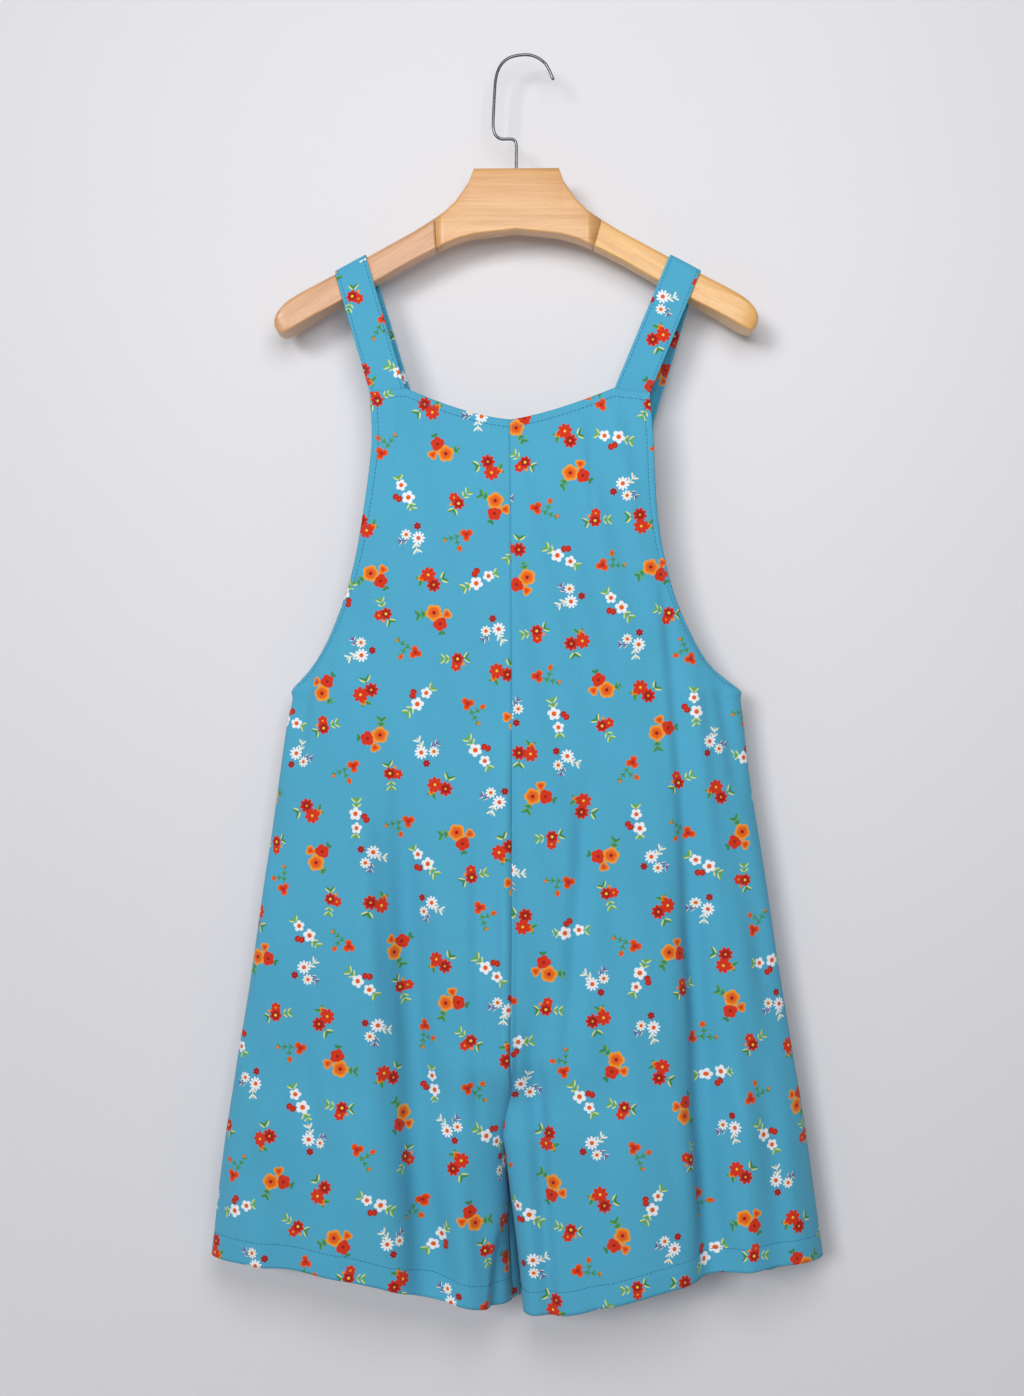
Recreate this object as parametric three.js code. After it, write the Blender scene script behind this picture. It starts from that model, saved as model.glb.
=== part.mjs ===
import * as THREE from 'three';

// A bib romper with short flared legs, hung by its straps on a wooden hanger.
// Millimetres, +Z up, front towards -Y. The origin is the underside of the hook's crest.

const { lerp, smoothstep } = THREE.MathUtils;

// Cloth and seams
const WALL = 1.2;
const SEAM_GAP = 0.3;
const SIDE_SEAM_Y = 2;

// Heights of the garment's landmarks
const BIB_TOP = -297.6;
const UNDERARM = -556;
const CROTCH = -941;
const HEM_AT_SIDE = -1046.5;
const LEG_BLEND = 70;

// Grid of one panel: columns from the centre out, rows from the bib down, and the step
// over which its normals are measured
const COLUMNS = 20;
const BIB_ROWS = 9;
const BODY_ROWS = 10;
const LEG_ROWS = 5;
const NORMAL_STEP = { s: 0.004, z: 1.5 };

// Neckline: a shallow scoop that rises to a corner at the strap
const NECK = { corner: 0.745, scoop: 23.3, rise: 27, edge: 3.7, fade: 90 };
const NECK_POWER = { left: 1.5, right: 1.35 };
const BACK_NECK_DROP = 19;

// Hem: hangs lower at the inner leg, where more of the cloth's fullness gathers
const HEM = {
  left: { drop: 39.5, reach: 0.47 },
  right: { drop: 44, reach: 0.5 },
};
const HEM_POWER = 1.9;
const BACK_HEM_DIP = { x: 214, half_width: 36, depth: 19 };

// Outer edge of each bib (its armholes), the depth of that edge, and how far down the bib
// the edge starts to turn in to the side seam
const FRONT_ARMHOLE = [
  { z: BIB_TOP, left: -135, right: 106.2 },
  { z: -338, left: -133.2, right: 109.9 },
  { z: -373, left: -136.6, right: 111.2 },
  { z: -408, left: -141.8, right: 113.9 },
  { z: -442, left: -148, right: 120.1 },
  { z: -476, left: -157.9, right: 129.9 },
  { z: -511, left: -172.3, right: 146.1 },
  { z: -535, left: -187, right: 162.5 },
  { z: UNDERARM, left: -206.4, right: 189.2 },
];
const BACK_ARMHOLE = [
  { z: BIB_TOP, left: -123, right: 112.4 },
  { z: -373, left: -129, right: 113.4 },
  { z: -442, left: -145, right: 120.5 },
  { z: -511, left: -170, right: 143 },
  { z: -535, left: -185, right: 159 },
  { z: UNDERARM, left: -206.4, right: 189.2 },
];
const BIB_EDGE_DEPTH = { front: -20, back: 14.5 };
const BIB_EDGE_TURN = { start: 0.3, power: 2 };

// Side seams, flaring to the hem
const SIDE_SEAM = [
  { z: UNDERARM, left: -206.4, right: 189.2 },
  { z: -563, left: -205.4, right: 188.4 },
  { z: -581, left: -209.2, right: 190.7 },
  { z: -633, left: -216.5, right: 196.9 },
  { z: -703, left: -227.1, right: 207.8 },
  { z: -774, left: -236.7, right: 218.3 },
  { z: -844, left: -248.1, right: 229.7 },
  { z: -914, left: -258.6, right: 241.1 },
  { z: -984, left: -268.3, right: 251.2 },
  { z: HEM_AT_SIDE, left: -275, right: 259.7 },
];

// Centre seam above the crotch, and how far the cloth stands off the side seams' plane
const CENTRE = [
  { z: BIB_TOP, front: -14, back: -7 },
  { z: UNDERARM, front: -12.6, back: -11 },
  { z: -800, front: -12.8, back: -12.8 },
  { z: CROTCH, front: -15.8, back: -15.8 },
];
const DEPTH = [
  { z: BIB_TOP, front: -21.2, back: 15.5 },
  { z: UNDERARM, front: -31, back: 23 },
  { z: -740, front: -36, back: 26 },
  { z: CROTCH, front: -42, back: 28 },
  { z: HEM_AT_SIDE, front: -45, back: 28 },
];
const BODY_ROUNDNESS = 2.3;
const LEG_ROUNDNESS = { inner: 3.8, outer: 2 };

// Inner leg: the inseam of each leg, and how far its wall slants from front to back
const INSEAM = [
  { z: CROTCH, left: -15.8, right: -15.8 },
  { z: -985, left: -14, right: -8.5 },
  { z: HEM_AT_SIDE, left: -10, right: 0.5 },
];
const INNER_SLANT = { front: -9, back: 20, whole_to: 0.2, gone_at: 0.7 };

// Largest folds: a positive depth is a trough and a negative one is a ridge. They die away
// where a panel turns in to its seams.
const FRONT_FOLDS = [
  { x_top: -112, x_bottom: -76, z_top: -590, z_bottom: -1110, half_width: 36, depth: 15 },
  { x_top: 142, x_bottom: 168, z_top: -600, z_bottom: -1110, half_width: 32, depth: 15 },
  { x_top: 32, x_bottom: -4, z_top: -700, z_bottom: -960, half_width: 30, depth: 6 },
  { x_top: -60, x_bottom: -58, z_top: -680, z_bottom: -900, half_width: 26, depth: 4 },
  { x_top: -186, x_bottom: -205, z_top: -640, z_bottom: -1110, half_width: 28, depth: 6 },
  { x_top: 84, x_bottom: 96, z_top: -780, z_bottom: -1110, half_width: 40, depth: -5 },
  { x_top: 205, x_bottom: 214, z_top: -820, z_bottom: -1110, half_width: 26, depth: 5 },
];
const BACK_FOLDS = [
  { x_top: -95, x_bottom: -120, z_top: -600, z_bottom: -1110, half_width: 36, depth: 7 },
  { x_top: 70, x_bottom: 105, z_top: -620, z_bottom: -1110, half_width: 36, depth: 8 },
  { x_top: 160, x_bottom: 196, z_top: -700, z_bottom: -1110, half_width: 30, depth: 6 },
  { x_top: -165, x_bottom: -205, z_top: -740, z_bottom: -1110, half_width: 30, depth: 5 },
];
const FOLD_FADE = { top: 220, bottom: 55 };
const FOLD_DEPTH_SHARE = { none: 0.35, whole: 0.97 };

// Hanger: measured from its own axis, which stands left of the origin
const HANGER_X = -8.5;
const HANGER_TILT = 0.007;
const BLOCK_THICKNESS = 20;
const BLOCK_TOP = -99.8;
const BLOCK_STATIONS = [
  { x: 37, top: BLOCK_TOP, bottom: -157.9 },
  { x: 39, top: -105, bottom: -158.4 },
  { x: 41, top: -110.8, bottom: -158.9 },
  { x: 46.7, top: -119.3, bottom: -160.5 },
  { x: 53, top: -128, bottom: -162.4 },
  { x: 62, top: -136.6, bottom: -166.1 },
];
const BLOCK_MIDDLE_BOTTOM = -153.8;
const JOINT_LEFT = { top_x: 71.1, top_z: -143, bottom_x: 69.4, bottom_z: -169.8, thickness: 19.6 };
const JOINT_RIGHT = { top_x: 74.1, top_z: -145, bottom_x: 67.1, bottom_z: -168.6, thickness: 19.6 };
const ARM_STATIONS = [
  { top_x: 87.9, top_z: -153.4, bottom_x: 83, bottom_z: -176.6, thickness: 19 },
  { top_x: 103.7, top_z: -162.1, bottom_x: 96, bottom_z: -183.4, thickness: 19 },
  { top_x: 121.2, top_z: -171.6, bottom_x: 112, bottom_z: -192.6, thickness: 19 },
  { top_x: 137.4, top_z: -180.6, bottom_x: 127, bottom_z: -201.1, thickness: 20 },
  { top_x: 154.9, top_z: -190, bottom_x: 144, bottom_z: -210.8, thickness: 21 },
  { top_x: 171.9, top_z: -199.1, bottom_x: 160, bottom_z: -219.8, thickness: 24 },
  { top_x: 186.8, top_z: -207.6, bottom_x: 175, bottom_z: -228.2, thickness: 28 },
  { top_x: 199.1, top_z: -215.8, bottom_x: 188, bottom_z: -236, thickness: 31 },
  { top_x: 206.9, top_z: -224, bottom_x: 196.5, bottom_z: -240.8, thickness: 31 },
  { top_x: 210.2, top_z: -231, bottom_x: 203, bottom_z: -243.2, thickness: 28 },
  { top_x: 210.6, top_z: -236, bottom_x: 207.6, bottom_z: -241.8, thickness: 21 },
];
const WOOD_EDGE = 4;
const WOOD_EDGE_MOST = 0.8;
const WOOD_EDGE_STEPS = 3;
const WOOD_GAP = 0.3;

// Hook: a round wire with a crank at its foot, measured from the hanger's axis
const WIRE_RADIUS = 1.3;
const WIRE_SIDES = 10;
const WIRE_STEPS = 56;
const HOOK_ROUTE = [
  { x: 0, z: BLOCK_TOP + WOOD_GAP },
  { x: 0, z: -88 },
  { x: 0, z: -77.5 },
  { x: -1.4, z: -73.8 },
  { x: -4.8, z: -72.3 },
  { x: -13.2, z: -72.2 },
  { x: -18.2, z: -68.8 },
  { x: -20, z: -63 },
  { x: -20.2, z: -56 },
  { x: -19.2, z: -35.9 },
  { x: -18.3, z: -22.5 },
  { x: -16.4, z: -13.6 },
  { x: -12.6, z: -6.4 },
  { x: -6.8, z: -1.6 },
  { x: 0, z: 0.6 },
  { x: 8.5, z: 1.4 },
  { x: 15, z: 0.4 },
  { x: 21.6, z: -3 },
  { x: 27, z: -8.6 },
  { x: 32.4, z: -20.4 },
];

// Straps: each crosses an arm of the hanger and ends behind the bibs
const STRAP = { width: 30, thickness: 1.6, clearance: 0.7, tuck: 9, bib_gap: 0.3, steps: 39 };
const STRAPS = {
  left: { arm_x: -144.9, front_x: -119.4, back_x: -110.5 },
  right: { arm_x: 146.6, front_x: 90.9, back_x: 97.5 },
};
const STRAP_BEND = { half_depth: 11.2, radius: WOOD_EDGE, drop: 8, steps: 7 };
const STRAP_TURN = { flat: 0.2, upright: 0.95 };

const CLOTH = { color: 0x4ca4c6, roughness: 0.85, metalness: 0 };
const WOOD = { color: 0xdcab78, roughness: 0.4, metalness: 0 };
const STEEL = { color: 0xb9bcc0, roughness: 0.25, metalness: 1 };

// A smooth curve through one column of a table whose rows run down in z
function column(rows, name, z) {
  const last = rows.length - 1;
  if (z >= rows[0].z) return rows[0][name];
  if (z <= rows[last].z) return rows[last][name];
  const i = rows.findIndex((row) => row.z < z) - 1;
  const slopeAt = (k) => {
    const a = rows[Math.max(k - 1, 0)];
    const b = rows[Math.min(k + 1, last)];
    return (b[name] - a[name]) / (b.z - a.z);
  };
  const step = rows[i + 1].z - rows[i].z;
  const t = (z - rows[i].z) / step;
  const bend = t * t * (3 - 2 * t);
  const straight = lerp(rows[i][name], rows[i + 1][name], bend);
  const leaving = slopeAt(i) * step * t * (1 - t) * (1 - t);
  const arriving = slopeAt(i + 1) * step * t * t * (t - 1);
  return straight + leaving + arriving;
}

// Depth of the folds at a point, fading in at each fold's upper end and out at its lower end
function foldDepth(folds, x, z) {
  let depth = 0;
  for (const fold of folds) {
    const along = (z - fold.z_top) / (fold.z_bottom - fold.z_top);
    if (along <= 0 || along >= 1) continue;
    const across = (x - lerp(fold.x_top, fold.x_bottom, along)) / fold.half_width;
    if (Math.abs(across) >= 1) continue;
    const fadeIn = smoothstep(fold.z_top - z, 0, FOLD_FADE.top);
    const fadeOut = smoothstep(z - fold.z_bottom, 0, FOLD_FADE.bottom);
    depth += fold.depth * fadeIn * fadeOut * (1 + Math.cos(Math.PI * across)) / 2;
  }
  return depth;
}

// Share of the way out along a row, closer together towards the side seam
function outward(s) {
  return (s + Math.sin(s * Math.PI / 2)) / 2;
}

function rounded(u, power) {
  return Math.pow(Math.max(1 - Math.pow(Math.abs(u), power), 0), 1 / power);
}

// One row of the bib or the body: a flattened quarter round from the centre seam out
function bodyPoint(face, side, s, level) {
  const armhole = face === 'front' ? FRONT_ARMHOLE : BACK_ARMHOLE;
  const edge = column(level > UNDERARM ? armhole : SIDE_SEAM, side, level);
  const centre = column(CENTRE, face, level);
  const down = Math.min((BIB_TOP - level) / (BIB_TOP - UNDERARM), 1);
  const turned = Math.max(down - BIB_EDGE_TURN.start, 0) / (1 - BIB_EDGE_TURN.start);
  const turn = Math.pow(turned, BIB_EDGE_TURN.power);
  const edgeDepth = lerp(BIB_EDGE_DEPTH[face], SIDE_SEAM_Y, turn);
  const profile = rounded(outward(s), BODY_ROUNDNESS);
  const x = lerp(centre, edge, outward(s));
  const y = lerp(edgeDepth, column(DEPTH, face, level), profile);
  return { x, y, profile };
}

// One row of a leg: a flattened half round from the inseam over to the side seam
function legPoint(face, side, s, level) {
  const inner = column(INSEAM, side, level);
  const outer = column(SIDE_SEAM, side, level);
  const angle = s * Math.PI;
  const across = -Math.cos(angle);
  const power = across < 0 ? LEG_ROUNDNESS.inner : LEG_ROUNDNESS.outer;
  const profile = Math.pow(Math.max(Math.sin(angle), 0), 2 / power);
  const roundX = Math.sign(across) * Math.pow(Math.abs(across), 2 / power);
  const depth = column(DEPTH, face, level);
  const slantShare = 1 - smoothstep(s, INNER_SLANT.whole_to, INNER_SLANT.gone_at);
  const slant = INNER_SLANT[face] * profile * slantShare;
  const x = lerp(inner, outer, (1 + roundX) / 2) + slant;
  return { x, y: lerp(SIDE_SEAM_Y, depth, profile), profile };
}

// Height of a point of the row called level, with the neckline's and the hem's own curves
function heightAt(face, side, s, level, x) {
  if (level > CROTCH) {
    const f = outward(s);
    const scoop = -NECK.scoop + NECK.rise * Math.pow(f / NECK.corner, NECK_POWER[side]);
    const strapEdge = NECK.edge * (1 - f) / (1 - NECK.corner);
    const drop = face === 'back' ? BACK_NECK_DROP : 0;
    const fade = smoothstep(level, BIB_TOP - NECK.fade, BIB_TOP);
    return level + ((f < NECK.corner ? scoop : strapEdge) - drop) * fade;
  }
  const share = (CROTCH - level) / (CROTCH - HEM_AT_SIDE);
  const inner = column(INSEAM, side, level);
  const outer = column(SIDE_SEAM, side, level);
  const q = Math.max((x - inner) / (outer - inner), 0);
  const { drop, reach } = HEM[side];
  let hem = HEM_AT_SIDE - drop * Math.exp(-Math.pow(q / reach, HEM_POWER));
  if (face === 'back') {
    const dip = Math.abs(x - BACK_HEM_DIP.x) / BACK_HEM_DIP.half_width;
    if (dip < 1) hem -= BACK_HEM_DIP.depth * (1 + Math.cos(Math.PI * dip)) / 2;
  }
  return lerp(CROTCH, hem, share);
}

// The outer surface of a panel, from the centre or inseam (s = 0) to its outer edge (s = 1)
function surfacePoint(face, side, s, level) {
  const body = bodyPoint(face, side, s, level);
  const leg = legPoint(face, side, s, level);
  const w = smoothstep(-level, -CROTCH - LEG_BLEND, -CROTCH);
  const x = lerp(body.x, leg.x, w);
  const z = heightAt(face, side, s, level, x);
  const folds = face === 'front' ? FRONT_FOLDS : BACK_FOLDS;
  const inward = face === 'front' ? 1 : -1;
  const profile = lerp(body.profile, leg.profile, w);
  const flat = smoothstep(profile, FOLD_DEPTH_SHARE.none, FOLD_DEPTH_SHARE.whole);
  const y = lerp(body.y, leg.y, w) + inward * flat * foldDepth(folds, x, z);
  const gapX = (1 - s) * (side === 'left' ? -1 : 1) * SEAM_GAP / 2;
  const gapY = inward * -SEAM_GAP / 2;
  return new THREE.Vector3(x + gapX, y + gapY, z);
}

// Unit normal of the outer surface, pointing out. On a seam between front and back it lies
// in the seam's plane, so that the two walls keep their gap.
function surfaceNormal(face, side, s, level) {
  const s0 = Math.max(s - NORMAL_STEP.s, 0);
  const s1 = Math.min(s + NORMAL_STEP.s, 1);
  const l0 = Math.min(level + NORMAL_STEP.z, BIB_TOP);
  const l1 = Math.max(level - NORMAL_STEP.z, HEM_AT_SIDE);
  const alongRow = surfacePoint(face, side, s1, level).sub(surfacePoint(face, side, s0, level));
  const down = surfacePoint(face, side, s, l1).sub(surfacePoint(face, side, s, l0));
  const normal = alongRow.cross(down).normalize();
  const onSideSeam = s === 1 && level <= UNDERARM;
  const onInseam = s === 0 && level <= CROTCH;
  if (onSideSeam || onInseam) normal.setY(0).normalize();
  const outwardSign = (face === 'front') === (side === 'right') ? -1 : 1;
  return normal.multiplyScalar(outwardSign);
}

function rowLevels() {
  const levels = [];
  for (let i = 0; i < BIB_ROWS; i++) levels.push(lerp(BIB_TOP, UNDERARM, i / BIB_ROWS));
  for (let i = 0; i < BODY_ROWS; i++) levels.push(lerp(UNDERARM, CROTCH, i / BODY_ROWS));
  for (let i = 0; i <= LEG_ROWS; i++) levels.push(lerp(CROTCH, HEM_AT_SIDE, i / LEG_ROWS));
  return levels;
}

// A closed wall from two grids of points: the outer skin and the same skin moved in
function wallGeometry(outer, inner) {
  const rows = outer.length;
  const cols = outer[0].length;
  const points = [...outer.flat(), ...inner.flat()];
  const skin = rows * cols;
  const faces = [];
  const quad = (a, b, c, d) => faces.push(a, b, c, a, c, d);
  for (let r = 0; r < rows - 1; r++) {
    for (let c = 0; c < cols - 1; c++) {
      const a = r * cols + c;
      quad(a, a + cols, a + cols + 1, a + 1);
      quad(skin + a, skin + a + 1, skin + a + cols + 1, skin + a + cols);
    }
  }
  const border = [];
  for (let c = 0; c < cols - 1; c++) border.push(c);
  for (let r = 0; r < rows - 1; r++) border.push(r * cols + cols - 1);
  for (let c = cols - 1; c > 0; c--) border.push((rows - 1) * cols + c);
  for (let r = rows - 1; r > 0; r--) border.push(r * cols);
  border.forEach((a, i) => {
    const b = border[(i + 1) % border.length];
    quad(a, b, skin + b, skin + a);
  });
  return facingOut(points, faces);
}

// A geometry from points and triangles, turned so that its faces point out
function facingOut(points, faces) {
  let volume = 0;
  for (let i = 0; i < faces.length; i += 3) {
    const [a, b, c] = [points[faces[i]], points[faces[i + 1]], points[faces[i + 2]]];
    volume += a.dot(b.clone().cross(c));
  }
  const turned = [];
  for (let i = 0; i < faces.length; i += 3) {
    const [a, b, c] = [faces[i], faces[i + 1], faces[i + 2]];
    turned.push(a, ...(volume < 0 ? [c, b] : [b, c]));
  }
  const geometry = new THREE.BufferGeometry().setFromPoints(points);
  geometry.setIndex(turned);
  geometry.computeVertexNormals();
  return geometry;
}

function panelGeometry(face, side) {
  const outer = [];
  const inner = [];
  for (const level of rowLevels()) {
    const outerRow = [];
    const innerRow = [];
    for (let i = 0; i <= COLUMNS; i++) {
      const point = surfacePoint(face, side, i / COLUMNS, level);
      const normal = surfaceNormal(face, side, i / COLUMNS, level);
      outerRow.push(point);
      innerRow.push(point.clone().addScaledVector(normal, -WALL));
    }
    outer.push(outerRow);
    inner.push(innerRow);
  }
  return wallGeometry(outer, inner);
}

// A closed loft through rings that all have the same number of points
function loftGeometry(rings) {
  const count = rings[0].length;
  const points = rings.flat();
  const faces = [];
  for (let r = 0; r < rings.length - 1; r++) {
    for (let i = 0; i < count; i++) {
      const a = r * count + i;
      const b = r * count + (i + 1) % count;
      faces.push(a, b, b + count, a, b + count, a + count);
    }
  }
  const end = (rings.length - 1) * count;
  for (let i = 1; i < count - 1; i++) {
    faces.push(0, i + 1, i);
    faces.push(end, end + i, end + i + 1);
  }
  return facingOut(points, faces);
}

// A rounded rectangular ring of wood that stands between a top and a bottom point
function woodRing(top, bottom, thickness) {
  const centre = top.clone().add(bottom).multiplyScalar(0.5);
  const up = top.clone().sub(bottom).normalize();
  const halfHeight = top.distanceTo(bottom) / 2;
  const radius = Math.min(WOOD_EDGE, halfHeight * WOOD_EDGE_MOST);
  const ring = [];
  for (let corner = 0; corner < 4; corner++) {
    const sy = corner === 0 || corner === 3 ? 1 : -1;
    const sz = corner < 2 ? 1 : -1;
    for (let k = 0; k < WOOD_EDGE_STEPS; k++) {
      const angle = (corner + k / (WOOD_EDGE_STEPS - 1)) * Math.PI / 2;
      const y = sy * (thickness / 2 - radius) + radius * Math.cos(angle);
      const v = sz * (halfHeight - radius) + radius * Math.sin(angle);
      ring.push(centre.clone().addScaledVector(up, v).add(new THREE.Vector3(0, y, 0)));
    }
  }
  return ring;
}

function stationRing(side, station, shift = 0) {
  const place = (distance, z) => {
    const x = side * (distance + shift);
    return new THREE.Vector3(HANGER_X + x, 0, z + HANGER_TILT * x);
  };
  const top = place(station.top_x, station.top_z);
  const bottom = place(station.bottom_x, station.bottom_z);
  return woodRing(top, bottom, station.thickness);
}

function armGeometry(side, joint) {
  const rings = [stationRing(side, joint, WOOD_GAP)];
  for (const station of ARM_STATIONS) rings.push(stationRing(side, station));
  return loftGeometry(rings);
}

function blockGeometry() {
  const straight = (station) => ({
    top_x: station.x,
    top_z: station.top,
    bottom_x: station.x,
    bottom_z: station.bottom,
    thickness: BLOCK_THICKNESS,
  });
  const middle = straight({ x: 0, top: BLOCK_TOP, bottom: BLOCK_MIDDLE_BOTTOM });
  const rings = [stationRing(-1, JOINT_LEFT)];
  for (const station of [...BLOCK_STATIONS].reverse()) rings.push(stationRing(-1, straight(station)));
  rings.push(stationRing(1, middle));
  for (const station of BLOCK_STATIONS) rings.push(stationRing(1, straight(station)));
  rings.push(stationRing(1, JOINT_RIGHT));
  return loftGeometry(rings);
}

function hookGeometry() {
  const points = HOOK_ROUTE.map((p) => new THREE.Vector3(HANGER_X + p.x, 0, p.z));
  const section = new THREE.Shape();
  for (let i = 0; i < WIRE_SIDES; i++) {
    const angle = i * 2 * Math.PI / WIRE_SIDES;
    const place = [WIRE_RADIUS * Math.cos(angle), WIRE_RADIUS * Math.sin(angle)];
    if (i === 0) section.moveTo(...place);
    else section.lineTo(...place);
  }
  section.closePath();
  const route = new THREE.CatmullRomCurve3(points);
  return new THREE.ExtrudeGeometry(section, { steps: WIRE_STEPS, extrudePath: route, bevelEnabled: false });
}

// Height and slope of the top of a hanger arm, at a place measured from the hanger's axis
function armTop(x) {
  const distance = Math.abs(x);
  const i = ARM_STATIONS.findIndex((station) => station.top_x > distance);
  const [a, b] = [ARM_STATIONS[i - 1], ARM_STATIONS[i]];
  const fall = (b.top_z - a.top_z) / (b.top_x - a.top_x);
  const z = a.top_z + fall * (distance - a.top_x) + HANGER_TILT * x;
  return { z, slope: fall * Math.sign(x) + HANGER_TILT };
}

// Where a strap ends behind a bib: flat against the inside of the bib's edge, below its top
function strapEnd(face, x, lean) {
  const inward = face === 'front' ? 1 : -1;
  const y = BIB_EDGE_DEPTH[face] + inward * (WALL + STRAP.bib_gap + STRAP.thickness / 2);
  const drop = face === 'back' ? BACK_NECK_DROP : 0;
  const top = new THREE.Vector3(x, y, BIB_TOP - drop);
  const low = new THREE.Vector3(x - lean * STRAP.tuck, y, BIB_TOP - drop - STRAP.tuck);
  return { top, low };
}

// The strap's centre line and the direction across its width, from front bib to back bib
function strapFrames(spec) {
  const { z, slope } = armTop(spec.arm_x);
  const armDirection = new THREE.Vector3(1, 0, slope).normalize();
  const armUp = new THREE.Vector3(-armDirection.z, 0, armDirection.x);
  const seat = new THREE.Vector3(HANGER_X + spec.arm_x, 0, z);
  const offset = STRAP.clearance + STRAP.thickness / 2;
  const { half_depth, radius, drop, steps } = STRAP_BEND;
  const onArm = (y, up) => seat.clone().addScaledVector(armUp, up).setY(y);
  const arch = [];
  for (let i = 0; i <= steps; i++) {
    const angle = Math.PI - i * Math.PI / steps;
    const flat = (half_depth - radius) * Math.sign(Math.cos(angle));
    const bend = radius + offset;
    arch.push(onArm(flat + bend * Math.cos(angle), -radius + bend * Math.sin(angle)));
  }
  const lean = (x) => (seat.x - x) / (seat.z - BIB_TOP);
  const front = strapEnd('front', spec.front_x, lean(spec.front_x));
  const back = strapEnd('back', spec.back_x, lean(spec.back_x));
  const route = [
    front.low,
    front.top,
    onArm(-half_depth - offset, -drop),
    ...arch,
    onArm(half_depth + offset, -drop),
    back.top,
    back.low,
  ];
  return { curve: new THREE.CatmullRomCurve3(route), armDirection };
}

function strapGeometry(side) {
  const spec = STRAPS[side];
  const { curve, armDirection } = strapFrames(spec);
  const rings = [];
  for (let i = 0; i <= STRAP.steps; i++) {
    const t = i / STRAP.steps;
    const centre = curve.getPoint(t);
    const along = curve.getTangent(t);
    const run = new THREE.Vector3(Math.abs(along.z), 0, -Math.sign(along.z) * along.x);
    const overArm = 1 - smoothstep(Math.abs(along.z), STRAP_TURN.flat, STRAP_TURN.upright);
    const across = run.normalize().lerp(armDirection, overArm).normalize();
    const normal = across.clone().cross(along).normalize();
    const corner = (w, n) => centre.clone()
      .addScaledVector(across, w * STRAP.width / 2)
      .addScaledVector(normal, n * STRAP.thickness / 2);
    rings.push([corner(-1, -1), corner(0, -1), corner(1, -1), corner(1, 1), corner(0, 1), corner(-1, 1)]);
  }
  return loftGeometry(rings);
}

function named(name, geometry, finish) {
  const mesh = new THREE.Mesh(geometry, new THREE.MeshStandardMaterial(finish));
  mesh.name = name;
  return mesh;
}

const romper = new THREE.Group();
for (const side of ['left', 'right']) {
  romper.add(named(`front_${side}`, panelGeometry('front', side), CLOTH));
  romper.add(named(`back_${side}`, panelGeometry('back', side), CLOTH));
  romper.add(named(`strap_${side}`, strapGeometry(side), CLOTH));
}

const hanger = new THREE.Group();
hanger.add(named('hanger_block', blockGeometry(), WOOD));
hanger.add(named('hanger_arm_left', armGeometry(-1, JOINT_LEFT), WOOD));
hanger.add(named('hanger_arm_right', armGeometry(1, JOINT_RIGHT), WOOD));
hanger.add(named('hanger_hook', hookGeometry(), STEEL));

const model = new THREE.Group();
model.add(romper, hanger);

export default model;
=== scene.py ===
import math

import bpy
import numpy as np
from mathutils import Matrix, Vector


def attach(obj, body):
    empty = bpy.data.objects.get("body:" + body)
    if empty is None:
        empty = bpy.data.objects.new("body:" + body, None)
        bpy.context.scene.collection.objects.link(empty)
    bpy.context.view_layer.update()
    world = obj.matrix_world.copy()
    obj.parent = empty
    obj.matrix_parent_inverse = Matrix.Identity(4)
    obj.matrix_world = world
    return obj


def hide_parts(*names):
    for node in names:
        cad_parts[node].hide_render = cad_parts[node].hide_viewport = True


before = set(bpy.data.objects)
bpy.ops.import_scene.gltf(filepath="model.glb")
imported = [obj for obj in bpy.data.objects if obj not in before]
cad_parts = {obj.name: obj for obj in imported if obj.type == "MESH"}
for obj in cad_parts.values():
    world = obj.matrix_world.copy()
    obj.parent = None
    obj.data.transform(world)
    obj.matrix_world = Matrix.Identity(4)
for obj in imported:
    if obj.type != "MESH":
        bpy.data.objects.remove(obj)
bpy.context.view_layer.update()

# The looks of a bib romper on a wooden hanger. Tables and functions work in millimetres,
# as the part's source does, and every mesh is written in metres.

MM = 0.001
FAR = 1000

# The way into the garment's hollow along y, and the way out from its middle along x
INWARD = {"front": 1, "back": -1}
OUTWARD = {"left": -1, "right": 1}

# Camera: level with the middle of the garment, far enough for a nearly flat view
PIXEL = 0.875
IMAGE_HEIGHT = 1396
CAMERA_DISTANCE = 1500
CAMERA_X = -12.25
CAMERA_Z = -561.4
SENSOR = 36

# Cloth
CLOTH_THICKNESS = 0.8
SIDE_SEAM_Y = 2
BIB_TOP = -297.6
UNDERARM = -556
CROTCH = -941
HEM_AT_SIDE = -1046.5
LEG_BLEND = 70
SEAM_COLUMNS = 8
SEAM_SHARE = 0.03
COLUMNS = 88
BIB_ROWS = 84
BODY_ROWS = 124
LEG_ROWS = 44


def table(columns, *rows):
    """A small table, as one array for each of its named columns."""
    return dict(zip(columns.split(), np.array(rows, float).T))


NECK = {"corner": 0.745, "scoop": 23.3, "rise": 27, "edge": 3.7, "fade": 90}
NECK_POWER = {"left": 1.5, "right": 1.35}
NECK_DROP = {"front": 0, "back": 19}
HEM_DROP = {"left": 39.5, "right": 44}
HEM_REACH = {"left": 0.47, "right": 0.5}
HEM_POWER = 1.9
BACK_HEM_DIP = {"x": 214, "half_width": 36, "depth": 19}

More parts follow.
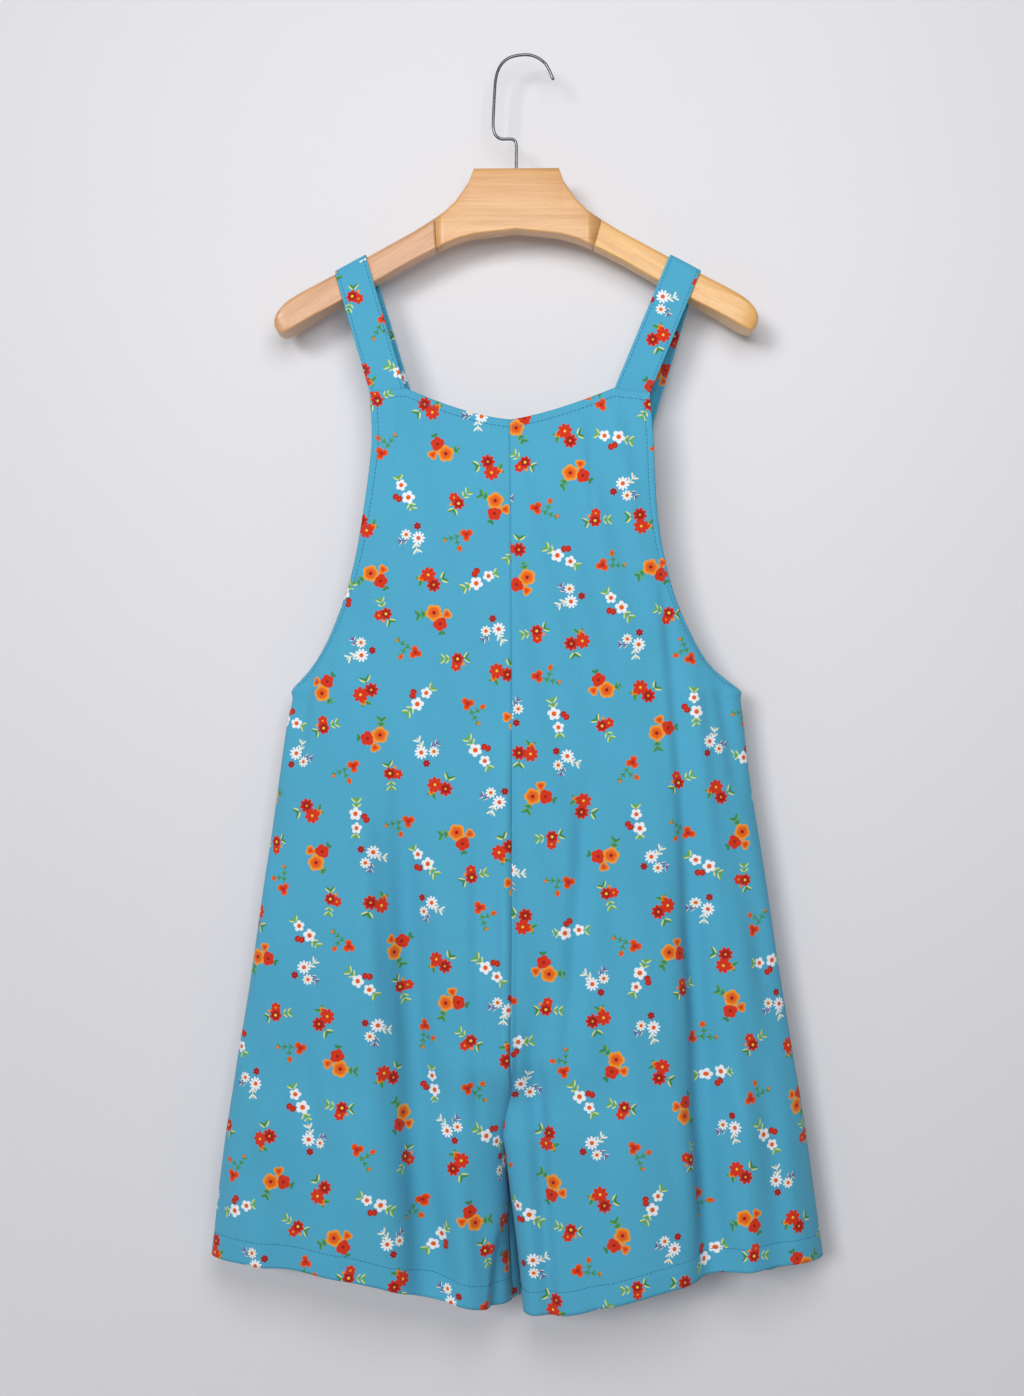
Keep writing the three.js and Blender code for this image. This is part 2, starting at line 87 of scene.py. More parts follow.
ARMHOLE = {
    "front": table(
        "z left right",
        (BIB_TOP, -135, 106.2),
        (-338, -133.2, 109.9),
        (-373, -136.6, 111.2),
        (-408, -141.8, 113.9),
        (-442, -148, 120.1),
        (-476, -157.9, 129.9),
        (-511, -172.3, 146.1),
        (-535, -187, 162.5),
        (UNDERARM, -206.4, 189.2),
    ),
    "back": table(
        "z left right",
        (BIB_TOP, -123, 112.4),
        (-373, -129, 113.4),
        (-442, -145, 120.5),
        (-511, -170, 143),
        (-535, -185, 159),
        (UNDERARM, -206.4, 189.2),
    ),
}
BIB_EDGE_DEPTH = {"front": -20, "back": 14.5}
BIB_EDGE_TURN = {"start": 0.3, "power": 2}
SIDE_SEAM = table(
    "z left right",
    (UNDERARM, -206.4, 189.2),
    (-563, -205.4, 188.4),
    (-581, -209.2, 190.7),
    (-633, -216.5, 196.9),
    (-703, -227.1, 207.8),
    (-774, -236.7, 218.3),
    (-844, -248.1, 229.7),
    (-914, -258.6, 241.1),
    (-984, -268.3, 251.2),
    (HEM_AT_SIDE, -275, 259.7),
)
CENTRE = table(
    "z front back",
    (BIB_TOP, -14, -7),
    (UNDERARM, -12.6, -11),
    (-800, -12.8, -12.8),
    (CROTCH, -15.8, -15.8),
)
DEPTH = table(
    "z front back",
    (BIB_TOP, -21.2, 15.5),
    (UNDERARM, -31, 23),
    (-740, -36, 26),
    (CROTCH, -42, 28),
    (HEM_AT_SIDE, -45, 28),
)
INSEAM = table(
    "z left right",
    (CROTCH, -15.8, -15.8),
    (-985, -14, -8.5),
    (HEM_AT_SIDE, -10, 0.5),
)
BODY_ROUNDNESS = 2.3
LEG_ROUNDNESS = {"inner": 3.8, "outer": 2}
INNER_SLANT = {"front": -9, "back": 20}
SLANT_WHOLE_TO = 0.2
SLANT_GONE_AT = 0.7

# Largest folds, the same as the solids have. A positive depth is a trough.
FOLD_COLUMNS = "x_top x_bottom z_top z_bottom half_width depth"
FOLDS = {
    "front": table(
        FOLD_COLUMNS,
        (-112, -76, -590, -1110, 36, 15),
        (142, 168, -600, -1110, 32, 15),
        (32, -4, -700, -960, 30, 6),
        (-60, -58, -680, -900, 26, 4),
        (-186, -205, -640, -1110, 28, 6),
        (84, 96, -780, -1110, 40, -5),
        (205, 214, -820, -1110, 26, 5),
    ),
    "back": table(
        FOLD_COLUMNS,
        (-95, -120, -600, -1110, 36, 7),
        (70, 105, -620, -1110, 36, 8),
        (160, 196, -700, -1110, 30, 6),
        (-165, -205, -740, -1110, 30, 5),
    ),
}
FOLD_FADE = {"top": 220, "bottom": 55}
FOLD_DEPTH_SHARE = {"none": 0.35, "whole": 0.97}

# Finer creases, laid over the folds. Each bows sideways by its own amount, and widens and
# deepens from its top to its bottom. Some run on past the hem.
CREASE_COLUMNS = "x_top z_top x_bottom z_bottom bow width_top width_bottom depth_top depth_bottom"
CREASES = {
    "front": table(
        CREASE_COLUMNS,
        (-115, -560, -84, -1160, 2, 15, 25, 1.6, 10),
        (111, -390, 161, -1160, 9, 9, 20, 2.0, 11),
        (54, -600, 32, -920, 0, 14, 15, 3.8, 5.4),
        (4, -820, 22, -1160, 0, 12, 17, 6.5, 8.0),
        (-42, -640, -41, -950, 0, 11, 13, 2.6, 4.6),
        (-18, -560, -19, -960, 0, 11, 13, -3.4, -7.0),
        (-142, -590, -130, -1060, 0, 18, 24, -3.2, -6.0),
        (-180, -860, -186, -1160, 0, 22, 28, 1.5, 4.0),
        (140, -500, 172, -820, 0, 12, 15, -2.2, -2.6),
        (-60, -930, -52, -1160, 0, 20, 26, -2.0, -4.0),
        (-18, -1000, -27, -1190, 0, 9, 24, 3.0, 20.0),
        (55, -320, 57, -430, 0, 7, 7, 0.8, 0.8),
        (-112, -285, -117, -380, 0, 7, 7, -1.3, -0.6),
        (-126, -330, -122, -470, 0, 7, 7, 0.7, 0.7),
        (-172, -670, -170, -800, 0, 15, 15, 1.6, 1.6),
        (-186, -530, -203, -630, 0, 12, 14, 3.6, 3.0),
        (166, -535, 186, -650, 0, 12, 14, 3.2, 3.0),
        (76, -700, 66, -1000, 0, 18, 20, 1.2, 1.6),
        (196, -700, 226, -1160, 0, 16, 22, 1.5, 3.0),
        (-226, -760, -250, -1160, 0, 14, 18, 1.0, 2.5),
    ),
    "back": table(
        CREASE_COLUMNS,
        (-60, -620, -72, -1160, 4, 14, 22, 1.0, 5.0),
        (30, -540, 44, -1160, -3, 14, 20, 1.0, 4.5),
        (-20, -760, -34, -1160, 0, 10, 14, 1.5, 3.5),
        (120, -740, 146, -1160, 0, 14, 18, -1.5, -3.5),
        (184, -560, 168, -700, 0, 11, 12, 1.8, 1.8),
        (-200, -560, -176, -700, 0, 11, 12, 1.8, 1.8),
        (-140, -820, -152, -1160, 0, 14, 18, -1.5, -3.5),
        (70, -840, 66, -1160, 0, 14, 18, 1.5, 3.5),
        (-100, -330, -104, -450, 0, 8, 8, 0.8, 0.8),
        (-190, -860, -214, -1160, 0, 18, 22, 1.5, 4.0),
    ),
}
CREASE_FADE = 0.22
CREASE_SHARPNESS = 1.3
UNEVENNESS = {"waves": 14, "height": 0.32, "length": (28, 110), "stretch": (2, 6)}
UNEVENNESS_SEED = {"front_left": 3, "front_right": 7, "back_left": 23, "back_right": 27}
DETAIL_FADE = {"armhole": (4, 26), "neck": (4, 30), "seam": (0, 16), "crease": (0, 14)}

# Sewing, as distances from the edges of a panel
SEAM = {"width": 1.1, "depth": 1.0}
STITCH_LINES = {"neck": 7, "armhole": 5.7, "hem": 20}
STITCH_DENT = {"width": 1.3, "depth": 0.42}
TURNED_EDGE = {"rise": 0.3, "blur": 1}
PUCKER = {"length": 8.5, "height": 0.22, "reach": 6}
STITCH = {"first": 0.5, "length": 2.7, "pitch": 3.7, "half_width": 0.26, "height": 0.24, "sunk": 0.12}
STITCH_POINTS = 300
STITCH_REACH = {"neck": (0.004, 0.985), "hem": (0.01, 0.99)}
ARMHOLE_STITCH_ROW = 2
STRAP_STITCH_INSET = 2.7

# Hanger, measured from its own axis
HANGER_X = -8.5
HANGER_TILT = 0.007
BLOCK_THICKNESS = 20
BLOCK_TOP = -99.8
BLOCK_STATIONS = (
    (37, BLOCK_TOP, -157.9),
    (39, -105, -158.4),
    (41, -110.8, -158.9),
    (46.7, -119.3, -160.5),
    (53, -128, -162.4),
    (62, -136.6, -166.1),
)
BLOCK_MIDDLE = (0, BLOCK_TOP, -153.8)
JOINT = {-1: (71.1, -143, 69.4, -169.8, 19.6), 1: (74.1, -145, 67.1, -168.6, 19.6)}
ARM_STATIONS = (
    (87.9, -153.4, 83, -176.6, 19),
    (103.7, -162.1, 96, -183.4, 19),
    (121.2, -171.6, 112, -192.6, 19),
    (137.4, -180.6, 127, -201.1, 20),
    (154.9, -190, 144, -210.8, 21),
    (171.9, -199.1, 160, -219.8, 24),
    (186.8, -207.6, 175, -228.2, 28),
    (199.1, -215.8, 188, -236, 31),
    (206.9, -224, 196.5, -240.8, 31),
    (210.2, -231, 203, -243.2, 28),
    (210.6, -236, 207.6, -241.8, 21),
)
WOOD_EDGE = 4
WOOD_LOWER_EDGE = 1.8
WOOD_EDGE_MOST = 0.8
WOOD_EDGE_STEPS = 7
WOOD_GAP = 0.3
GRAIN_DEPTH = 0.7
ARM_STEPS = 72

WIRE_RADIUS = 1.3
WIRE_SIDES = 18
WIRE_STEPS = 200
HOOK_ROUTE = (
    (0, BLOCK_TOP + WOOD_GAP),
    (0, -88),
    (0, -77.5),
    (-1.4, -73.8),
    (-4.8, -72.3),
    (-13.2, -72.2),
    (-18.2, -68.8),
    (-20, -63),
    (-20.2, -56),
    (-19.2, -35.9),
    (-18.3, -22.5),
    (-16.4, -13.6),
    (-12.6, -6.4),
    (-6.8, -1.6),
    (0, 0.6),
    (8.5, 1.4),
    (15, 0.4),
    (21.6, -3),
    (27, -8.6),
    (32.4, -20.4),
)

# Straps
STRAP = {"width": 30, "thickness": 1.6, "clearance": 0.7, "tuck": 9, "bib_gap": 0.3}
PANEL_WALL = 1.2
STRAPS = {
    "left": {"arm_x": -144.9, "front_x": -119.4, "back_x": -109.5, "back_shift": 4},
    "right": {"arm_x": 146.6, "front_x": 90.9, "back_x": 97.5, "back_shift": 0},
}
STRAP_BEND = {"half_depth": 11.2, "radius": WOOD_EDGE, "drop": 8, "steps": 7}
STRAP_TURN = {"start": 10, "end": 50}
STRAP_DENT_SHARE = 0.6
STRAP_STEPS = 150
STRAP_COLUMNS = 12
STRAP_EDGE_STEPS = 4
STRAP_PRINT = {"left": 200, "right": 0, "under": 60}


def lerp(a, b, t):
    return a + (b - a) * t


def smoothstep(x, low, high):
    t = np.clip((x - low) / (high - low), 0, 1)
    return t * t * (3 - 2 * t)


def bump(across):
    """A soft hump that is 1 at 0 and 0 from 1 out, on either side."""
    return np.where(np.abs(across) < 1, (1 + np.cos(np.pi * across)) / 2, 0)


def unit(vectors):
    return vectors / np.maximum(np.linalg.norm(vectors, axis=-1, keepdims=True), 1e-9)


def column(rows, name, z):
    """A smooth curve through one column of a table whose rows run down in z."""
    knots, values = rows["z"], rows[name]
    last = len(knots) - 1
    z = np.clip(z, knots[last], knots[0])
    i = np.clip(np.searchsorted(-knots, -z, side="right") - 1, 0, last - 1)
    before = np.maximum(np.arange(last + 1) - 1, 0)
    after = np.minimum(np.arange(last + 1) + 1, last)
    slope = (values[after] - values[before]) / (knots[after] - knots[before])
    step = knots[i + 1] - knots[i]
    t = (z - knots[i]) / step
    straight = lerp(values[i], values[i + 1], t * t * (3 - 2 * t))
    return straight + slope[i] * step * t * (1 - t) ** 2 + slope[i + 1] * step * t * t * (t - 1)


def fold_depth(face, x, z):
    depth = np.zeros(np.broadcast(x, z).shape)
    for fold in zip(*FOLDS[face].values()):
        x_top, x_bottom, z_top, z_bottom, half_width, most = fold
        along = (z - z_top) / (z_bottom - z_top)
        across = (x - lerp(x_top, x_bottom, along)) / half_width
        fade_in = smoothstep(z_top - z, 0, FOLD_FADE["top"])
        fade_out = smoothstep(z - z_bottom, 0, FOLD_FADE["bottom"])
        depth += most * fade_in * fade_out * bump(across)
    return depth


def crease_depth(face, x, z):
    """Depth of the finer creases at a point."""
    depth = np.zeros(np.broadcast(x, z).shape)
    for crease in zip(*CREASES[face].values()):
        x_top, z_top, x_bottom, z_bottom, bow, width_top, width_bottom, first, last = crease
        along = (z - z_top) / (z_bottom - z_top)
        middle = lerp(x_top, x_bottom, along) + 4 * bow * along * (1 - along)
        across = (x - middle) / lerp(width_top, width_bottom, along)
        ends = smoothstep(along, 0, CREASE_FADE) * (1 - smoothstep(along, 1 - CREASE_FADE, 1))
        depth += lerp(first, last, along) * ends * bump(across) ** CREASE_SHARPNESS
    return depth


def unevenness(name, x, z):
    """A gentle waviness of a panel, longer down the garment than across it."""
    random = np.random.default_rng(UNEVENNESS_SEED[name])
    height = np.zeros(np.broadcast(x, z).shape)
    for _ in range(UNEVENNESS["waves"]):
        across = random.uniform(*UNEVENNESS["length"])
        down = across * random.uniform(*UNEVENNESS["stretch"])
        phase = random.uniform(0, 2 * np.pi)
        height += np.sin(2 * np.pi * (x / across + z / down) + phase)
    return height * UNEVENNESS["height"]


def outward(s):
    return (s + np.sin(s * np.pi / 2)) / 2


def rounded(u, power):
    return np.maximum(1 - np.abs(u) ** power, 0) ** (1 / power)


def body_point(face, side, s, level):
    edge = np.where(
        level > UNDERARM, column(ARMHOLE[face], side, level), column(SIDE_SEAM, side, level)
    )
    centre = column(CENTRE, face, level)
    down = np.minimum((BIB_TOP - level) / (BIB_TOP - UNDERARM), 1)
    turned = np.maximum(down - BIB_EDGE_TURN["start"], 0) / (1 - BIB_EDGE_TURN["start"])
    edge_depth = lerp(BIB_EDGE_DEPTH[face], SIDE_SEAM_Y, turned ** BIB_EDGE_TURN["power"])
    profile = rounded(outward(s), BODY_ROUNDNESS)
    x = lerp(centre, edge, outward(s))
    y = lerp(edge_depth, column(DEPTH, face, level), profile)
    return x, y, profile


def leg_point(face, side, s, level):
    inner = column(INSEAM, side, level)
    outer = column(SIDE_SEAM, side, level)
    across = -np.cos(s * np.pi)
    power = np.where(across < 0, LEG_ROUNDNESS["inner"], LEG_ROUNDNESS["outer"])
    profile = np.maximum(np.sin(s * np.pi), 0) ** (2 / power)
    round_x = np.sign(across) * np.abs(across) ** (2 / power)
    slant_share = 1 - smoothstep(s, SLANT_WHOLE_TO, SLANT_GONE_AT)
    x = lerp(inner, outer, (1 + round_x) / 2) + INNER_SLANT[face] * profile * slant_share
    y = lerp(SIDE_SEAM_Y, column(DEPTH, face, level), profile)
    return x, y, profile


def height_at(face, side, s, level, x):
    """Height of the row called level, with the neckline's and the hem's own curves."""
    f = outward(s)
    scoop = -NECK["scoop"] + NECK["rise"] * (f / NECK["corner"]) ** NECK_POWER[side]
    strap_edge = NECK["edge"] * (1 - f) / (1 - NECK["corner"])
    fade = smoothstep(level, BIB_TOP - NECK["fade"], BIB_TOP)
    body = level + (np.where(f < NECK["corner"], scoop, strap_edge) - NECK_DROP[face]) * fade
    share = (CROTCH - level) / (CROTCH - HEM_AT_SIDE)
    inner = column(INSEAM, side, level)
    outer = column(SIDE_SEAM, side, level)
    q = np.maximum((x - inner) / (outer - inner), 0)
    hem = HEM_AT_SIDE - HEM_DROP[side] * np.exp(-((q / HEM_REACH[side]) ** HEM_POWER))
    if face == "back":
        hem -= BACK_HEM_DIP["depth"] * bump((x - BACK_HEM_DIP["x"]) / BACK_HEM_DIP["half_width"])
    return np.where(level > CROTCH, body, lerp(CROTCH, hem, share))


def surface(face, side, s, level):
    """The outer surface of a panel without its fine detail, as points for each row and column."""
    body_x, body_y, body_profile = body_point(face, side, s, level)
    leg_x, leg_y, leg_profile = leg_point(face, side, s, level)
    w = smoothstep(-level, -CROTCH - LEG_BLEND, -CROTCH)
    x = lerp(body_x, leg_x, w)
    z = height_at(face, side, s, level, x)
    profile = lerp(body_profile, leg_profile, w)
    flat = smoothstep(profile, FOLD_DEPTH_SHARE["none"], FOLD_DEPTH_SHARE["whole"])
    y = lerp(body_y, leg_y, w) + INWARD[face] * flat * fold_depth(face, x, z)
    return np.stack([x, y, z], axis=-1)


def grid_normals(face, side, points, s, level):
    """Outward normals of a grid. On a seam they lie in its plane, so that it stays closed."""
    along_row = np.gradient(points, axis=1)
    down = np.gradient(points, axis=0)
    normals = np.cross(along_row, down)
    if (face == "front") == (side == "right"):
        normals = -normals
    on_seam = ((s == 1) & (level <= UNDERARM)) | ((s == 0) & (level <= CROTCH))
    normals[..., 1] = np.where(on_seam, 0, normals[..., 1])
    normals[..., 0] = np.where((s == 0) & (level > CROTCH), 0, normals[..., 0])
    return unit(normals)


def groove(distance, form):
    """Depth of a seam or of a row of stitches at a distance from it."""
    return np.exp(-((distance / form["width"]) ** 2)) * form["depth"]


def stitched_edge(distance, line, along):
    """Height near a turned and stitched edge: the turned band stands up and the line sinks."""
    blur = TURNED_EDGE["blur"]
    band = TURNED_EDGE["rise"] * (1 - smoothstep(distance, line - blur, line + blur))
    near = np.exp(-(((distance - line) / PUCKER["reach"]) ** 2))
    pucker = PUCKER["height"] * near * np.sin(2 * np.pi * along / PUCKER["length"])
    return band + pucker - groove(distance - line, STITCH_DENT)


def run_lengths(line):
    """The way along a line of points, from its start to each of them."""
    steps = np.linalg.norm(np.diff(line, axis=0), axis=-1)
    return np.concatenate([[0], np.cumsum(steps)])


def edge_slant(points):
    """How much longer each row's way to the panel's edge is than the shortest one."""
    edge = points[:, -1, :]
    lean = np.gradient(edge[:, 0]) / np.gradient(edge[:, 2])
    return np.sqrt(1 + lean ** 2)


class Panel:
    """One panel of the cloth: its outer points, its normals and the lengths along its rows."""

    def __init__(self, face, side):
        self.face = face
        self.side = side
        self.name = f"{face}_{side}"
        by_seam = np.linspace(0, SEAM_SHARE, SEAM_COLUMNS, endpoint=False)
        self.s = np.concatenate([by_seam, np.linspace(SEAM_SHARE, 1, COLUMNS + 1 - SEAM_COLUMNS)])
        self.levels = np.concatenate([
            np.linspace(BIB_TOP, UNDERARM, BIB_ROWS, endpoint=False),
            np.linspace(UNDERARM, CROTCH, BODY_ROWS, endpoint=False),
            np.linspace(CROTCH, HEM_AT_SIDE, LEG_ROWS + 1),
        ])
        s, level = self.s[None, :], self.levels[:, None]
        plain = surface(face, side, s, level)
        normals = grid_normals(face, side, plain, s, level)
        self.lengths = np.array([run_lengths(row) for row in plain])
        height = self.detail(plain)
        self.points = plain + normals * height[..., None]
        self.normals = grid_normals(face, side, self.points, s, level)
        middle = COLUMNS // 2
        from_middle = self.lengths - self.lengths[:, middle:middle + 1]
        across = plain[:, middle, 0:1] + OUTWARD[side] * from_middle
        if face == "back":
            across = BACK_PRINT - across
        self.flat = np.stack([across, plain[..., 2] - SIDE_PRINT[side]], axis=-1)

    def edge_distances(self, points):
        """Distances from the neckline, the armhole and the hem, one array for each."""
        z = points[..., 2]
        to_edge = (self.lengths[:, -1:] - self.lengths) / edge_slant(points)[:, None]
        armhole = np.where(self.levels[:, None] > UNDERARM, to_edge, FAR)
        return z[:1] - z, armhole, z - z[-1:]

    def detail(self, points):
        """How far the fine form stands out of the plain surface."""
        x, z = points[..., 0], points[..., 2]
        neck, armhole, hem = self.edge_distances(points)
        to_side = self.lengths[:, -1:] - self.lengths
        inside = smoothstep(armhole, *DETAIL_FADE["armhole"]) * smoothstep(neck, *DETAIL_FADE["neck"])
        for distance in (self.lengths, to_side):
            inside *= smoothstep(distance, *DETAIL_FADE["seam"])
        height = inside * unevenness(self.name, x, z)
        height -= crease_depth(self.face, x, z) * smoothstep(to_side, *DETAIL_FADE["crease"])
        height -= groove(self.lengths, SEAM)
        height -= groove(to_side, SEAM) * (self.levels[:, None] <= UNDERARM)
        height += stitched_edge(neck, STITCH_LINES["neck"], x)
        height += stitched_edge(armhole, STITCH_LINES["armhole"], z)
        height += stitched_edge(hem, STITCH_LINES["hem"], x)
        return height

    def at(self, s, level):
        """Points and normals at places between the grid's own, by straight steps."""
        row = np.interp(-level, -self.levels, np.arange(len(self.levels)))
        col = np.interp(s, self.s, np.arange(len(self.s)))
        r = np.clip(row.astype(int), 0, len(self.levels) - 2)
        c = np.clip(col.astype(int), 0, COLUMNS - 1)
        tr, tc = (row - r)[:, None], (col - c)[:, None]

        def between(grid):
            upper = lerp(grid[r, c], grid[r, c + 1], tc)
            lower = lerp(grid[r + 1, c], grid[r + 1, c + 1], tc)
            return lerp(upper, lower, tr)

        return between(self.points), unit(between(self.normals))

    def stitch_paths(self):
        """The lines that are sewn on this panel, as places in its grid."""
        neck_s = np.linspace(*STITCH_REACH["neck"], STITCH_POINTS)
        neck = (neck_s, np.full(STITCH_POINTS, BIB_TOP - STITCH_LINES["neck"]))
        rows = np.nonzero(self.levels > UNDERARM)[0][ARMHOLE_STITCH_ROW:]
        places = self.lengths[:, -1] - STITCH_LINES["armhole"] * edge_slant(self.points)
        armhole_s = [np.interp(places[r], self.lengths[r], self.s) for r in rows]
        armhole = (np.array(armhole_s), self.levels[rows])
        hem_s = np.linspace(*STITCH_REACH["hem"], STITCH_POINTS)
        bottom = np.interp(hem_s, self.s, self.points[-1, :, 2])
        share = 1 - STITCH_LINES["hem"] / (CROTCH - bottom)
        hem = (hem_s, CROTCH - share * (CROTCH - HEM_AT_SIDE))
        return [neck, armhole, hem]


def add_object(name, data):
    thing = bpy.data.objects.new(name, data)
    bpy.context.scene.collection.objects.link(thing)
    return thing


def new_mesh(name, points, faces, flat=None, material_index=None):
    """A smooth mesh object from points in millimetres, with a flat layout for its print."""
    mesh = bpy.data.meshes.new(name)
    mesh.from_pydata((np.asarray(points) * MM).tolist(), [], [list(face) for face in faces])
    mesh.polygons.foreach_set("use_smooth", [True] * len(mesh.polygons))
    if flat is not None:
        layer = mesh.uv_layers.new(name="flat")
        corners = np.empty(len(mesh.loops), int)
        mesh.loops.foreach_get("vertex_index", corners)
        layer.data.foreach_set("uv", (np.asarray(flat)[corners] * MM).ravel())
    if material_index is not None:
        mesh.polygons.foreach_set("material_index", material_index)
    mesh.update()
    return add_object(name, mesh)


def grid_faces(rows, cols):
    r, c = np.meshgrid(np.arange(rows - 1), np.arange(cols - 1), indexing="ij")
    a = (r * cols + c).ravel()
    return np.stack([a, a + cols, a + cols + 1, a + 1], axis=1)


def rim_faces(rows, cols):
    """The faces that close a shell between its two skins, all the way round."""
    top = list(range(cols - 1))
    outer = [r * cols + cols - 1 for r in range(rows - 1)]
    bottom = [(rows - 1) * cols + c for c in range(cols - 1, 0, -1)]
    inner = [r * cols for r in range(rows - 1, 0, -1)]
    border = np.array(top + outer + bottom + inner)
    following = np.roll(border, -1)
    skin = rows * cols
    return np.stack([border, following, following + skin, border + skin], axis=1)


def panel_piece(panel):
    """A panel as a thin closed shell, with the wrong side of the cloth as its second material."""
    rows, cols = panel.points.shape[:2]
    inner = panel.points - panel.normals * CLOTH_THICKNESS
    points = np.concatenate([panel.points.reshape(-1, 3), inner.reshape(-1, 3)])
    skin, rim = grid_faces(rows, cols), rim_faces(rows, cols)
    faces = np.concatenate([skin, skin[:, ::-1] + rows * cols, rim])
    if (panel.face == "front") == (panel.side == "left"):
        faces = faces[:, ::-1]
    material_index = [0] * len(skin) + [1] * len(skin) + [0] * len(rim)
    flat = np.tile(panel.flat.reshape(-1, 2), (2, 1))
    return new_mesh(f"cloth_{panel.name}", points, faces, flat, material_index)


def stitches(name, paths):
    """Short threads in rows along each path, whose points and normals are given.

    Each thread is a loft of three rings of four points, whose middle ring stands out.
    """
    points, faces = [], []
    for line, normals in paths:
        length = run_lengths(line)
        for start in np.arange(STITCH["first"], length[-1] - STITCH["length"], STITCH["pitch"]):
            places = start + STITCH["length"] * np.array([0, 0.5, 1])
            centre = np.stack([np.interp(places, length, line[:, k]) for k in range(3)], axis=1)
            up = unit(np.stack([np.interp(places, length, normals[:, k]) for k in range(3)], axis=1))
            across = unit(np.cross(centre[2] - centre[0], up[1]))
            first = len(points)
            for k, lift in enumerate((-STITCH["sunk"], STITCH["height"], -STITCH["sunk"])):
                middle = centre[k] + up[k] * lift
                for way in (across, up[k], -across, -up[k]):
                    points.append(middle + way * STITCH["half_width"])
            faces += [[first + k for k in face] for face in loft_faces(3, 4)]
    return new_mesh(name, points, faces)


def catmull_rom(points, t):
    """Points at shares t along a uniform cubic through all points, with extended ends."""
    points = np.asarray(points, float)
    before = 2 * points[0] - points[1]
    after = 2 * points[-1] - points[-2]
    knots = np.concatenate([[before], points, [after]])
    position = t * (len(points) - 1)
    i = np.clip(position.astype(int), 0, len(points) - 2)
    u = (position - i)[:, None]
    p0, p1, p2, p3 = (knots[i + k] for k in range(4))
    return 0.5 * (
        2 * p1
        + (p2 - p0) * u
        + (2 * p0 - 5 * p1 + 4 * p2 - p3) * u ** 2
        + (3 * p1 - p0 - 3 * p2 + p3) * u ** 3
    )


def arm_top(x):
    """Height and slope of the top of a hanger arm, measured from the hanger's axis."""
    stations = np.array(ARM_STATIONS)
    distance = abs(x)
    i = int(np.argmax(stations[:, 0] > distance))
    a, b = stations[i - 1], stations[i]
    fall = (b[1] - a[1]) / (b[0] - a[0])
    z = a[1] + fall * (distance - a[0]) + HANGER_TILT * x
    return z, fall * np.sign(x) + HANGER_TILT


def strap_end(face, x, seat):
    """Where a strap meets the bib's top, and its own end below that, behind the bib."""
    lean = (seat[0] - x) / (seat[2] - BIB_TOP)
    y = BIB_EDGE_DEPTH[face] + INWARD[face] * (PANEL_WALL + STRAP["bib_gap"] + STRAP["thickness"] / 2)
    top = BIB_TOP - NECK_DROP[face]
    low = np.array([x - lean * STRAP["tuck"], y, top - STRAP["tuck"]])
    return np.array([x, y, top]), low


def strap_route(spec):
    """A strap's middle line from front bib to back bib, its seat and the arm's direction."""
    z, slope = arm_top(spec["arm_x"])
    arm = unit(np.array([1, 0, slope]))
    arm_up = np.array([-arm[2], 0, arm[0]])
    seat = np.array([HANGER_X + spec["arm_x"], 0, z])
    offset = STRAP["clearance"] + STRAP["thickness"] / 2
    half_depth, radius, drop, steps = STRAP_BEND.values()

    def on_arm(y, up):
        return seat + arm_up * up + np.array([0, y, 0])

    arch = []
    for i in range(steps + 1):
        angle = np.pi - i * np.pi / steps
        flat = (half_depth - radius) * np.sign(np.cos(angle))
        bend = radius + offset
        place = on_arm(flat + bend * np.cos(angle), -radius + bend * np.sin(angle))
        arch.append(place + arm * spec["back_shift"] * i / steps)
    ends = []
    for face, start in (("front", arch[0]), ("back", arch[-1])):
        top, low = strap_end(face, spec[f"{face}_x"], seat)
        ends.append([low, top, start + unit(top - start) * drop])
    return [*ends[0], *arch, *reversed(ends[1])], seat, arm


def strap_frames(spec):
    """Middle line, direction across and outward normal of a strap, at even steps.

    Both edges run straight down from the arm. Over the arm the strap lies along it, and
    lower down it turns square to its own run.
    """
    route, seat, arm = strap_route(spec)
    t = np.linspace(0, 1, STRAP_STEPS + 1)
    centre = catmull_rom(route, t)
    along = unit(np.gradient(centre, axis=0))
    runs = [seat - route[1], seat - route[-2]]
    front_square, back_square = (unit(np.array([run[2], 0, -run[0]])) for run in runs)
    behind = smoothstep(centre[:, 1:2], -STRAP_BEND["half_depth"], STRAP_BEND["half_depth"])
    square = unit(lerp(front_square, back_square, behind))
    lower = smoothstep(seat[2] - centre[:, 2:3], STRAP_TURN["start"], STRAP_TURN["end"])
    across = unit(lerp(arm, square, lower))
    normal = unit(np.cross(across, along))
    return centre, across / np.sum(across * square, axis=1, keepdims=True), normal


def strap_section(half_width, half_thickness):
    """The outline of a strap's section, with sunk stitch lines and rounded edges."""
    section = []
    flat_half = half_width - half_thickness
    for k in range(STRAP_COLUMNS + 1):
        w = lerp(-flat_half, flat_half, k / STRAP_COLUMNS)
        sunk = groove(half_width - abs(w) - STRAP_STITCH_INSET, STITCH_DENT)
        section.append((w, half_thickness - sunk * STRAP_DENT_SHARE))
    for k in range(1, STRAP_EDGE_STEPS):
        angle = np.pi / 2 - k * np.pi / STRAP_EDGE_STEPS
        section.append((flat_half + half_thickness * np.cos(angle), half_thickness * np.sin(angle)))
    return section + [(-w, -h) for w, h in section]


